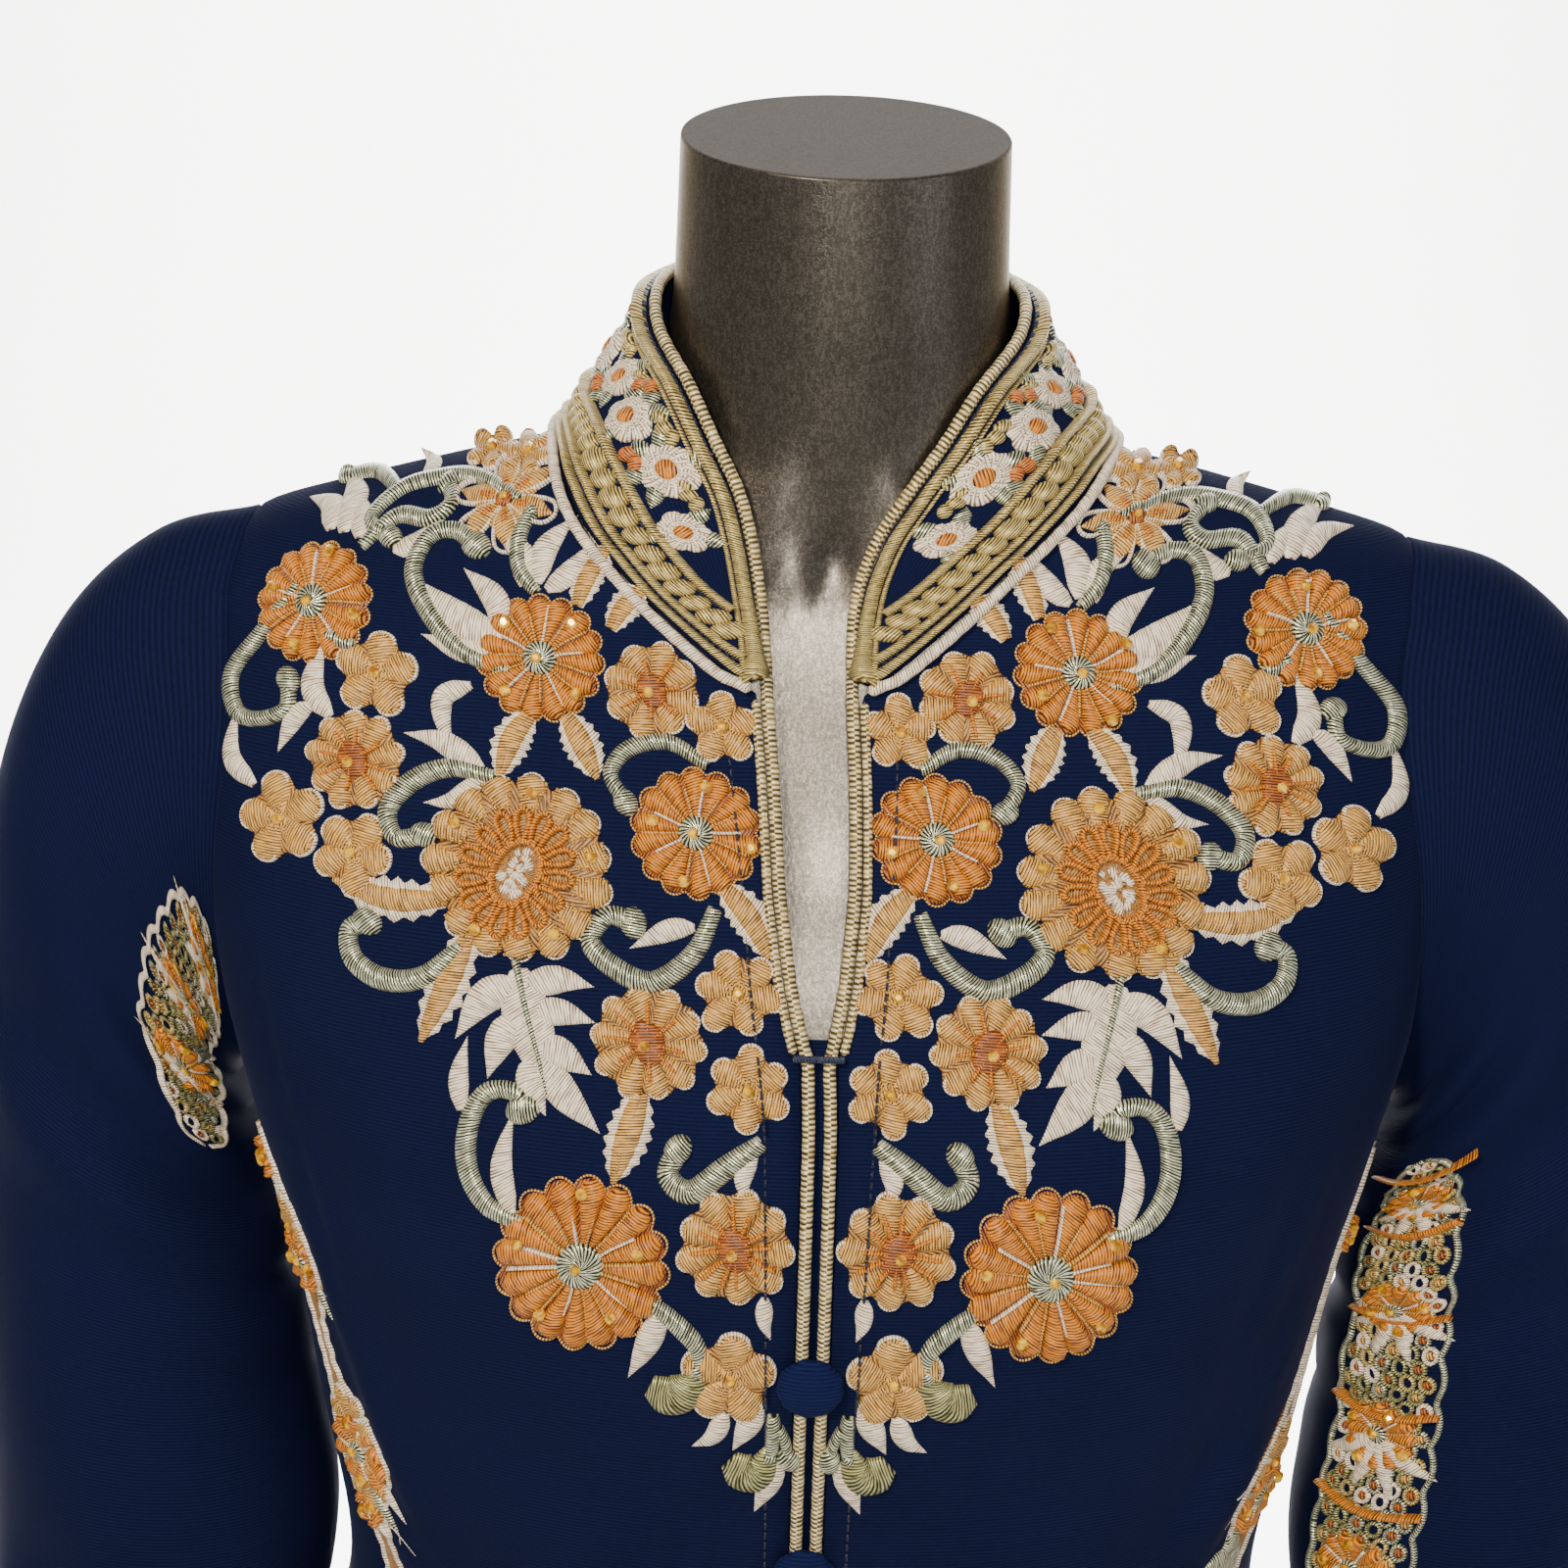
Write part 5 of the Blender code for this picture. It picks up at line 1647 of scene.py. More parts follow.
@dataclass(frozen=True)
class OrangeBloom(Bloom):
    """Full orange flower: padded petals, peach lines between them, a silver middle and stones."""

    stones: int = 4

    def sew(self, work: Stitching, stones: Stitching) -> None:
        """Sew the base, the petals, the lines, the outline, the middle and the stones."""
        size, pitch = self.radius, math.pi / self.petals
        self.base(work, Yarn.RUST, 0.96, 0.1, crown=0.3, lift=0.3, columns=self.petals * 4, rows=3)
        for angle in self.angles(work):
            path = self.spoke(angle, 0.26, work.dice.uniform(0.94, 1.0))
            widths = petal_widths(size * 0.20 * pitch, size * 0.76 * pitch)
            work.ribbon(Yarn.ORANGE, path, widths, 2.1 + work.dice.uniform(0, 0.6), 0.6, 6, size / 12)
        for number, angle in enumerate(self.angles(work, 0.03) + pitch):
            reach = 0.82 if number % 2 else 0.68
            start, middle, end = self.spoke(angle, 0.22, reach / 1.7, reach)
            aside = around((0.0, 0.0), work.dice.uniform(-0.4, 0.4), angle + math.pi / 2)
            work.rope(Yarn.PEACH if number % 3 else Yarn.CREAM, [start, middle + aside, end], 0.45, 1.3)
        work.rope(Yarn.PEACH, self.outline(0.14), 0.36, 0.1, 1.0, closed=True)
        work.disc(Yarn.SILVER, self.centre, size * 0.26, 1.0, 1.6, 20, 3, fan=True)
        stones.stone(self.centre + (0.8, -0.4), 1.7, 2.5)
        turns = 2 * math.pi * (np.arange(self.stones) + work.dice.uniform(0, 0.5)) / max(self.stones, 1)
        for angle in self.turn + turns:
            stones.stone(around(self.centre, size * work.dice.uniform(0.66, 0.86), angle), 1.9, 2.5)


@dataclass(frozen=True)
class Mandala(Bloom):
    """Large peach flower with an oval of orange loops round a pale middle; darker peach under its petals and
    inside its loops is painted shade.
    """

    tilt: float = 0.5

    def sew(self, work: Stitching, stones: Stitching) -> None:
        """Sew the darker peach scallops of painted shade, the loops, the oval ring, the pale middle and the
        stones.
        """
        size, pitch = self.radius, math.pi / self.petals
        heart = self.centre + (0.3, -1.8)
        upright = math.pi / 2 + self.tilt
        # The darker peach ground shows between the petals as painted shade
        self.base(work, Yarn.TAN, 0.93, 0.08, crown=1.0, lift=0.4, columns=self.petals * 4, fan=True)
        for angle in self.angles(work, 0.04):
            share = work.dice.uniform(0.95, 1.02)
            widths = petal_widths(size * 0.42 * pitch, size * 0.82 * pitch, 0.72)
            work.ribbon(Yarn.PEACH, self.spoke(angle, 0.60, share), widths, 2.0, 0.7, 6, 1.6)
            for ring in (0.64, 0.73, 0.82, 0.91):
                arc = angle + np.linspace(-0.8, 0.8, 4) * pitch
                work.rope(Yarn.PEACH, around(self.centre, size * ring, arc), 0.5, 1.9 - ring * 0.6, 1.6)
            rim = teardrop(self.centre, angle, size * 0.60, size * share + 0.5, size * 0.86 * pitch)
            work.rope(Yarn.CREAM, rim, 0.34, 0.4, 1.5, closed=True)
        for number in range(15):
            angle = 2 * math.pi * number / 15
            foot = around(heart, size * 0.34, angle, 0.72, upright)
            tip = around(heart, size * 0.68, angle, 0.86, upright)
            course = math.atan2(tip[1] - foot[1], tip[0] - foot[0])
            reach = float(np.hypot(*(tip - foot)))
            end = reach * work.dice.uniform(0.95, 1.06)
            filling = [foot, around(foot, end * 0.9, course)]
            # The darker peach filling in each loop is painted shade
            work.ribbon(Yarn.TAN, filling, (0.8, 2.0, 2.5, 1.6), 0.9, 1.2, 4, 1.4)
            work.rope(Yarn.ORANGE, teardrop(foot, course, -0.6, end, 3.2), 0.95, 2.0, 1.0, closed=True)
        work.disc(Yarn.RUST, heart, size * 0.33, 0.2, 1.0, 20, 2, turn=upright, stretch=0.66)
        for angle in work.dice.uniform(0, 2 * math.pi, 26):
            knot = around(heart, size * 0.26 * math.sqrt(work.dice.uniform(0, 1)), angle, 0.64, upright)
            work.disc(Yarn.CREAM, knot, work.dice.uniform(1.3, 1.9), 1.3, 1.0, 10, 2, 4, 0.2, angle)
        ring = around(heart, size * 0.34, np.linspace(0, 2 * math.pi, 25), 0.68, upright)
        work.rope(Yarn.ORANGE, ring, 1.15, 1.6, 1.0, closed=True)
        for angle in (0.5, 1.7, 2.9, 4.1, 5.2):
            stones.stone(around(self.centre, size * 0.78, angle + self.turn), 1.9, 2.7)


@dataclass(frozen=True)
class PeachBloom(Bloom):
    """Peach flower of crocheted-looking lobes with a rust middle and orange rays."""

    rays: int = 8

    def sew(self, work: Stitching, stones: Stitching) -> None:
        """Sew the lobes, the rays, the middle and the stone."""
        size = self.radius
        half = size * 0.72 * math.pi / self.petals
        # The darker peach ground shows between the lobes as painted shade
        self.base(work, Yarn.TAN, 0.95, 0.1, crown=0.6, lift=0.4, columns=self.petals * 4, fan=True)
        for angle in self.angles(work):
            share = work.dice.uniform(0.93, 1.02)
            widths = petal_widths(half * 0.4, half, 0.66)
            work.ribbon(Yarn.PEACH, self.spoke(angle, 0.30, share), widths, 1.8, 0.6, 6, 1.5)
            for yarn, shrink in ((Yarn.CREAM, 1.0), (Yarn.PEACH, 0.55)):
                start, end = size * (0.42 + 0.12 * (1 - shrink)), size * share * (0.90 + 0.10 * shrink)
                rim = teardrop(self.centre, angle, start, end, half * shrink)
                work.rope(yarn, rim, 0.46, 1.9 - 1.2 * shrink, 1.2, closed=True)
        for number in range(self.rays):
            angle = self.turn + 2 * math.pi * (number + work.dice.uniform(-0.2, 0.2)) / self.rays
            work.rope(Yarn.ORANGE, self.spoke(angle, 0.15, work.dice.uniform(0.56, 0.78)), 0.62, 1.9)
        work.disc(Yarn.RUST, self.centre, size * 0.40, 1.0, 1.9, 20, 3, 5, 0.12, 1.2, 0.74)
        stones.stone(self.centre + (0.9, -1.0), 1.8, 2.8)


@dataclass(frozen=True)
class SmallBloom(Bloom):
    """Small peach flower of five or six outlined petals round a stone."""

    def sew(self, work: Stitching, stones: Stitching) -> None:
        """Sew the petals, their outlines, the folds in them and the stone."""
        size = self.radius
        half = size * 0.66 * math.pi / self.petals
        # The darker peach ground shows between the petals as painted shade
        self.base(work, Yarn.TAN, 0.90, 0.15, crown=0.4, lift=0.4, columns=self.petals * 6, rows=3, fan=True)
        for angle in self.angles(work):
            share = work.dice.uniform(0.96, 1.10)
            widths = petal_widths(half * 0.35, half, 0.60)
            work.ribbon(Yarn.PEACH, self.spoke(angle, 0.10, share), widths, 1.6, 0.5, 6, 1.3)
            for yarn, shrink in ((Yarn.CREAM, 1.0), (Yarn.PEACH, 0.62)):
                end = size * share * (0.86 + 0.14 * shrink) + 0.2
                rim = teardrop(self.centre, angle, size * 0.16, end, half * 1.12 * shrink)
                work.rope(yarn, rim, 0.48, 1.9 - 1.4 * shrink, 1.2, closed=True)
            for aside in (-0.16, 0.02, 0.17):
                work.rope(Yarn.PEACH, self.spoke(angle + aside, 0.25, 0.62), 0.38, 1.1)
        work.disc(Yarn.PEACH, self.centre, size * 0.2, 0.7, 1.0, 12, 2)
        stones.stone(self.centre, 1.7, 1.8)


@dataclass(frozen=True)
class StarBloom(Bloom):
    """Star of pointed cream petals with orange inside them."""

    def sew(self, work: Stitching, stones: Stitching) -> None:
        """Sew the petals, the orange slips in them and the middle."""
        half = self.radius * 0.27
        for angle in self.angles(work):
            share = work.dice.uniform(0.94, 1.05)
            path = self.spoke(angle, 1.0 / self.radius, share)
            work.ribbon(Yarn.PEACH, path, (0.8, half * 0.8, half, half * 0.8, half * 0.4, 0.0), 1.1, 0.5)
            rim = teardrop(self.centre, angle, 0.8, self.radius * share + 0.6, half * 1.25)
            work.rope(Yarn.CREAM, rim, 0.62, 0.5, 1.2, closed=True)
            slip = self.spoke(angle, share * 0.2, share * 0.62)
            work.ribbon(Yarn.ORANGE, slip, (0.5, 1.3, 1.1, 0.2), 0.8, 1.3)
        work.disc(Yarn.RUST, self.centre, self.radius * 0.17, 0.9, 1.3, 12, 2)
        stones.stone(self.centre, 1.3, 2.0)


@dataclass(frozen=True)
class Leaf:
    """A leaf or tip in satin stitch: its course on the worn left front and its half width."""

    course: tuple[Pair, ...]
    half: float


@dataclass(frozen=True)
class Scroll:
    """A silver scroll with a bulb at its end: its course on the worn left front and its half widths."""

    course: tuple[Pair, ...]
    half: float = 2.1
    bulb: float = 3.4
    pad: tuple[Pair, ...] = ()


BLOOMS = (
    OrangeBloom(157.0, 139.5, 19.8, 15, 0.1),
    OrangeBloom(83.5, 121.5, 20.2, 15, 0.3),
    OrangeBloom(37.0, 68.0, 20.5, 14, 0.2),
    OrangeBloom(73.0, -65.6, 28.0, 16, 0.1, stones=5),
    Mandala(92.3, 56.4, 30.0, 15, 0.1),
    PeachBloom(144.1, 89.4, 16.4, 9, 0.2),
    PeachBloom(52.2, 3.6, 18.2, 10, 0.1),
    PeachBloom(25.0, -58.5, 18.4, 9, 0.4, rays=12),
    PeachBloom(48.8, 112.0, 15.6, 8, 0.3, rays=7),
    SmallBloom(135.8, 116.7, 13.0, 5, 0.5),
    SmallBloom(169.5, 71.0, 13.8, 5, 0.2),
    SmallBloom(145.3, 60.2, 12.8, 5, 0.9),
    SmallBloom(27.4, 101.0, 10.8, 5, 0.3),
    SmallBloom(24.4, 19.4, 13.2, 6, 0.2),
    SmallBloom(21.6, -9.9, 13.0, 6, 0.6),
    SmallBloom(25.6, -100.4, 14.6, 5, 0.4),
    SmallBloom(97.0, 189.5, 9.5, 6, 0.2),
    SmallBloom(110.5, 192.0, 8.0, 5, 0.7),
    StarBloom(99.2, 172.0, 17.0, 6, 0.25),
)

SCROLLS = (
    Scroll(((171, 145), (182, 131), (193, 118), (191, 106), (183, 103), (173, 106), (172, 115)), 2.2, 3.2),
    Scroll(((100, 117), (116, 124), (127, 136), (133, 149), (130, 160), (122, 162), (114, 157)), 2.4, 3.6),
    Scroll(((152, 157), (143, 167), (132, 166), (127, 171), (131, 179)), 2.2, 3.0),
    Scroll(((104, 172), (122, 181), (136, 181), (147, 177), (152, 166), (143, 160)), 2.1, 3.0),
    Scroll(((147, 176), (159, 185), (170, 184)), 2.0, 2.4),
    Scroll(((93, 142), (99, 150), (101, 160), (99, 168)), 2.2, 1.6),
    Scroll(((104, 84), (118, 87), (130, 83), (138, 74), (135, 65), (126, 66)), 2.6, 3.4),
    Scroll(((112, 32), (124, 22), (137, 21), (147, 27), (149, 36), (143, 39)), 2.8, 3.6),
    Scroll(((38, 89), (50, 96), (62, 94), (68, 86), (63, 77)), 2.1, 3.2),
    Scroll(((34, 45), (40, 31), (52, 22), (64, 26), (72, 34), (67, 42), (59, 40)), 2.7, 3.6),
    Scroll(((92, -54), (104, -48), (110, -36), (109, -22), (103, -13), (94, -13), (92, -18)), 2.6, 4.0),
    Scroll(((18, -26), (29, -34), (40, -42), (47, -37), (44, -29)), 3.0, 3.6),
    Scroll(
        ((52, -77), (44, -84), (38, -91), (38, -98)), 2.4, 2.0,
        ((38, -96), (40, -103), (46, -107), (53, -104)),
    ),
    Scroll(((14, -112), (14, -120), (15, -126)), 2.0, 1.6, ((15, -124), (18, -131), (23, -132), (28, -128))),
    Scroll(((12, -116), (10, -122), (9, -127)), 1.4, 3.0),
    Scroll(((150, 125), (158, 128)), 2.0, 2.2),
)

LEAVES = (
    Leaf(((165, 163), (169, 172), (180, 176)), 3.6), Leaf(((160, 162), (163, 176), (172, 187)), 4.0),
    Leaf(((154, 160), (156, 168), (161, 176)), 3.0), Leaf(((141, 181), (141, 188), (147, 194)), 2.6),
    Leaf(((141, 156), (134, 158), (127, 166)), 3.4), Leaf(((103, 127), (116, 133), (131, 146)), 4.6),
    Leaf(((104, 124), (115, 124), (129, 129)), 3.8), Leaf(((104, 131), (106, 140), (117, 150)), 3.8),
    Leaf(((97, 144), (99, 154), (109, 162)), 3.4), Leaf(((93, 145), (92, 156), (84, 167)), 3.6),
    Leaf(((90, 143), (84, 148), (78, 158)), 3.2), Leaf(((112, 113), (121, 109), (120, 98), (114, 93)), 3.0),
    Leaf(((184, 82), (193, 92), (191, 108)), 3.0), Leaf(((158, 103), (164, 113), (160, 128)), 3.6),
    Leaf(((164, 107), (170, 103), (176, 92)), 3.0), Leaf(((108, 86), (121, 95), (134, 98)), 3.4),
    Leaf(((108, 84), (117, 77), (127, 76)), 2.8), Leaf(((40, 39), (48, 38), (60, 32)), 3.0),
    Leaf(((96, -51), (99, -36), (95, -18)), 3.0), Leaf(((112, -19), (112, -8), (109, 4)), 2.8),
    Leaf(((49, -80), (54, -91), (60, -102)), 3.4), Leaf(((21, -27), (24, -38), (22, -46)), 3.0),
    Leaf(((17, -74), (17, -82), (15, -88)), 2.4), Leaf(((18, -110), (23, -118), (27, -125)), 3.4),
    Leaf(((12, -128), (16, -137), (20, -146)), 3.6), Leaf(((29, -112), (33, -120), (40, -124)), 2.8),
)

THISTLE_STEM = ((95, 28), (91, 14), (87, 1), (84, -13))
THISTLE_TIPS = (
    Leaf(((94, 25), (91, 12), (87, 0), (83, -16)), 7.0), Leaf(((93, 20), (104, 16), (113, 3)), 4.4),
    Leaf(((91, 10), (98, 4), (103, -9)), 4.2), Leaf(((92, 20), (81, 22), (70, 20)), 4.2),
    Leaf(((90, 12), (80, 12), (69, 9)), 3.8), Leaf(((87, 3), (79, -1), (70, -7)), 4.4),
    Leaf(((86, -2), (79, -13), (68, -25)), 4.8), Leaf(((88, -2), (89, -10), (85, -20)), 4.0),
)

JAGGED = (
    Leaf(((80, 138), (77, 148), (71, 160)), 5.0), Leaf(((69, 131), (65, 138), (57, 147)), 5.0),
    Leaf(((93, 104), (99, 96), (103, 84)), 6.0), Leaf(((82, 104), (77, 95), (72, 84)), 6.0),
    Leaf(((118, 46), (136, 46), (155, 52)), 6.4), Leaf(((110, 36), (116, 20), (124, 2)), 6.6),
    Leaf(((32, 52), (23, 42), (17, 30)), 6.0), Leaf(((55, -12), (59, -24), (64, -40)), 6.8),
)


@dataclass
class Yoke:
    """Embroidery on one front: flowers over leaves and scrolls, all in satin stitch."""

    side: Side
    ground: YokeGround
    pull_up: float = 0.058
    pull_down: float = 0.020
    stitch_line: tuple[Pair, ...] = ((26, 92), (21, 23), (17, -22), (14, -118), (13, -172))
    stitch: float = 3.4

    def settled(self, course: Sequence[Pair]) -> Array:
        """Turn places on the worn left front into places on the flat front, before the wearing pulls it."""
        places = np.array(course, float)
        share = np.where(places[:, 1] > 0, self.pull_up, self.pull_down)
        places[:, 0] -= share * np.abs(places[:, 1])
        return places

    def leaf(self, work: Stitching, leaf: Leaf, crown: float = 1.0) -> None:
        """Sew a smooth leaf, fullest below its middle and pointed at its tip."""
        half = leaf.half * work.dice.uniform(1.10, 1.26)
        widths = (half * 0.35, half * 0.85, half, half * 0.92, half * 0.66, half * 0.32, 0.0)
        work.ribbon(Yarn.CREAM, self.settled(leaf.course), widths, crown, 0.3, 6, 1.1)

    def jagged(self, work: Stitching, leaf: Leaf) -> None:
        """Sew a leaf with a saw-toothed cream edge, a peach middle and a vein."""
        course, half = self.settled(leaf.course), leaf.half * 1.15
        shape = np.sin(np.linspace(0.25, math.pi, 15)) ** 0.7 * half
        shape[1::2] *= 0.74
        work.ribbon(Yarn.CREAM, course, list(shape), 0.7, 0.3, 6, 0.9)
        line = curve_through(course, 9)
        inner = np.sin(np.linspace(0.5, math.pi - 0.15, 9)) ** 0.8 * half * 0.52
        work.ribbon(Yarn.PEACH, line, list(inner), 1.0, 0.7, 6, 1.1)
        work.rope(Yarn.PEACH, line[:-1], 0.4, 1.35)

    def scroll(self, work: Stitching, scroll: Scroll) -> None:
        """Sew a scroll, thin where it starts, with its bulb."""
        course = self.settled(scroll.course)
        half = scroll.half * 1.25
        widths = (half * 0.7, half * 0.9, half, half * 1.05, half, half * 0.9, half * 0.95)
        work.ribbon(Yarn.SILVER, course, widths, 1.9, 0.4, 6, 1.2)
        turn = work.dice.uniform(0, 3)
        work.disc(Yarn.SILVER, course[-1], scroll.bulb * 1.4, 2.0, 0.6, 16, 4, turn=turn, stretch=0.82)
        if scroll.pad:
            work.ribbon(Yarn.OLIVE, self.settled(scroll.pad), (2.2, 4.6, 6.6, 6.4, 3.6), 1.8, 0.7, 8, 1.2)

    def topstitch(self, work: Stitching) -> None:
        """Sew the navy stitching that holds the placket's facing, over the flowers that it crosses."""
        line = curve_through(self.stitch_line, 300)
        gone = gone_along(line)
        for start in np.arange(0, gone[-1] - self.stitch, self.stitch):
            places = start + np.array((0.1, 0.8)) * self.stitch
            ends = np.stack([np.interp(places, gone, column) for column in line.T], axis=1)
            middle = ends.mean(0)
            over = any(np.hypot(*(middle - bloom.centre)) < bloom.radius * 0.95 for bloom in BLOOMS)
            work.rope(Yarn.NAVY, ends, 0.42, 2.2 if over else 0.1)

    def build(self) -> None:
        """Sew everything, in the order in which it overlaps."""
        seed = 11 if self.side is Side.LEFT else 12
        leaves, flowers, stones = (Stitching(self.ground, seed + step) for step in (0, 20, 40))
        for leaf in LEAVES:
            self.leaf(leaves, leaf)
        for tip in THISTLE_TIPS:
            self.leaf(leaves, tip, 1.1)
        leaves.ribbon(Yarn.SILVER, self.settled(THISTLE_STEM), (1.2, 1.1, 0.9, 0.5), 0.9, 1.1, 6, 1.1)
        for leaf in JAGGED:
            self.jagged(leaves, leaf)
        for scroll in SCROLLS:
            self.scroll(leaves, scroll)
        for bloom in BLOOMS:
            bloom.sew(flowers, stones)
        self.topstitch(flowers)
        label = self.side.label
        names = ("orange_shoulder", "orange_chest", "orange_centre", "orange_low", "mandala")
        names += ("peach_outer", "peach_inner", "peach_low")
        leaves.finish(f"yoke_leaves_{label}", "peach_thread")
        flowers.finish(f"yoke_flowers_{label}", "orange_thread", [f"{name}_{label}" for name in names])
        stones.finish(f"yoke_stones_{label}", "gold_cord", faceted=True)


@dataclass
class Collar:
    """Standing collar: a navy band under gold cords, oval pads and a row of small flowers, all in mm."""

    side: Side
    ground: CollarGround
    trim: float = 6.5
    pad_row: float = 12.6
    pad_pitch: float = 7.0
    cord_row: float = 18.6
    flower_pitch: float = 19.5

    def reach(self, b: float, margin: float) -> float:
        """How far along the seam a row can run, at a distance from the seam, before it meets the edge."""
        ahead = np.linspace(0, self.ground.reach, 400)
        fits = self.ground.width_at(self.side.value * ahead) > (b + margin) * MM
        return float(ahead[fits].max()) / MM

    def row(self, b: float, margin: float, start: float = 0.0) -> list[Pair]:
        """Line at one distance from the seam, from the centre back to where it meets the edge."""
        end = self.reach(b, margin)
        return [(a, b) for a in np.linspace(start, end, 30)]

    def edge_line(self, inset: float, end_share: float = 1.0) -> list[Pair]:
        """Line at one distance in from the free edge, from the centre back to the front point."""
        end = self.reach(inset + 0.6, 0.0) * end_share
        a = np.linspace(0, end, 60)
        width = self.ground.width_at(self.side.value * a * MM) / MM
        return list(zip(a, width - inset))

    def dashes(self, work: Stitching, line: Sequence[Pair], lift: float, gap: float = 3.1) -> None:
        """Sew short navy stitches along a line."""
        path = curve_through(line, 400)
        count = round(length_of(path) / gap)
        for number in range(count):
            first = round(399 * (number + 0.15) / count)
            last = round(399 * (number + 0.80) / count)
            if last > first:
                work.rope(Yarn.NAVY, [path[first], path[last]], 0.32, lift, 2.0)

    def flower(self, work: Stitching, centre: Array, size: float, turn: float) -> None:
        """Sew a cream fan flower with its orange square and its silver leaves."""
        for course, half in ((0.9, 3.2), (2.3, 2.6), (-1.9, 2.6)):
            start = around(centre, size * 0.5, turn + course)
            end = around(centre, size * 1.5, turn + course * 0.86)
            work.ribbon(Yarn.SILVER, [start, end], (half * 0.6, half, half * 0.9, 0.1), 0.9, 0.3, 6, 1.0)
        work.disc(Yarn.CREAM, centre, size, 1.2, 0.4, 24, 4, 6, 0.13, turn, 0.92, fan=True)
        for angle in turn + np.arange(18) * math.pi / 9:
            reach = size * work.dice.uniform(0.7, 0.95)
            ray = [around(centre, size * 0.3, angle), around(centre, reach, angle)]
            work.ribbon(Yarn.CREAM, ray, (0.45, 0.55, 0.2), 0.5, 1.3, 4, 2.0)
        work.disc(Yarn.RUST, centre, size * 0.44, 0.4, 1.3, 16, 2, 8, 0.25, turn, 0.9, fan=True)
        work.disc(Yarn.ORANGE, centre, size * 0.34, 0.7, 1.6, 12, 2, 4, 0.1, turn)

    def bud(self, work: Stitching, centre: Array, turn: float) -> None:
        """Sew an orange bud on a silver leaf."""
        foot = around(centre, 5.0, turn + math.pi)
        work.ribbon(Yarn.SILVER, [foot, centre], (0.8, 3.0, 3.6, 2.4), 1.3, 0.3, 6, 1.0)
        work.disc(Yarn.BURNT, around(centre, 2.0, turn), 3.0, 1.2, 1.0, 14, 3, turn=turn, stretch=0.75)

    def build_band(self) -> None:
        """Build the navy band itself, right round the neck."""
        ground = self.ground

        def place(u: Array, v: Array) -> Array:
            """Points of the inner face, from the left front point round the back to the right one."""
            return leaned(ground.surface((2 * u - 1) * ground.reach, 1 - v))

        mesh = grid_mesh("collar_band", 240, 12, place)
        add_cloth(mesh, "collar", wall=COLLAR_WALL)

    def build(self) -> None:
        """Sew one half of the collar, from the seam up to the free edge."""
        seed = 31 if self.side is Side.LEFT else 32
        work = Stitching(self.ground, seed)
        for b in (3.0, 7.0):
            work.rope(Yarn.GOLD, self.row(b, self.trim - 2.0), 1.55, 0.2)
        self.dashes(work, self.row(3.0, self.trim), 1.9, 3.6)
        self.dashes(work, self.row(5.0, self.trim), 0.6, 2.6)
        self.dashes(work, self.row(7.0, self.trim), 1.9, 4.4)
        end = self.reach(self.pad_row, self.trim) - 2.0
        count = round(end / self.pad_pitch)
        for number in range(count):
            a = end - number * end / (count - 0.5)
            size = 4.7 * work.dice.uniform(0.92, 1.08)
            centre = (a, self.pad_row + work.dice.uniform(-0.4, 0.4))
            turn = 1.15 + work.dice.uniform(-0.2, 0.2)
            work.disc(Yarn.GOLD, centre, size, 1.9, 0.4, 18, 4, turn=turn, stretch=0.84)
        work.rope(Yarn.GOLD, self.row(self.cord_row, self.trim), 1.7, 0.3)
        self.dashes(work, self.row(self.cord_row - 2.1, self.trim), 0.5, 5.5)
        work.rope(Yarn.GOLD, self.edge_line(2.3), 2.0, 0.4)
        work.rope(Yarn.GOLD, self.edge_line(5.4), 0.7, 0.3)
        self.dashes(work, self.edge_line(4.4), 0.5, 2.4)
        self.dashes(work, self.edge_line(0.2), 0.6, 3.0)
        self.blooms(work)
        work.finish(f"collar_embroidery_{self.side.label}", "gold_cord")

    def blooms(self, work: Stitching) -> None:
        """Sew the flowers, buds, leaf pads and cream stitches between the gold cord and the edge."""
        last = self.reach(self.cord_row + 16.0, self.trim)
        count = round(last / self.flower_pitch)
        pitch = (last - 1.0) / (count - 0.5)
        for number in range(count):
            a = last - 1.0 - number * pitch
            width = self.ground.width_at(np.array(self.side.value * a * MM)) / MM
            low, high = self.cord_row + 2.0, width - self.trim - 0.5
            middle = (low + high) / 2
            size = min(9.2, (high - low) * 0.56)
            up = number % 2 == 0
            centre = np.array((a, middle + (-1.8 if up else 2.2)))
            self.flower(work, centre, size, work.dice.uniform(0, 1.0))
            if high - low > 17:
                self.bud(work, np.array((a - 8.5, middle + (5.0 if up else -4.0))), 1.9 if up else -1.6)
                self.bud(work, np.array((a - 3.5, high - 1.5 if up else low + 2.5)), 2.6)
            for aside in (-3.2, 0.0, 3.2):
                pad = (a - 11.0 + aside, high - 1.6 + 0.2 * abs(aside))
                work.disc(Yarn.GOLD, pad, 2.7, 1.3, 0.4, 14, 3, turn=1.4 + 0.25 * aside, stretch=0.72)


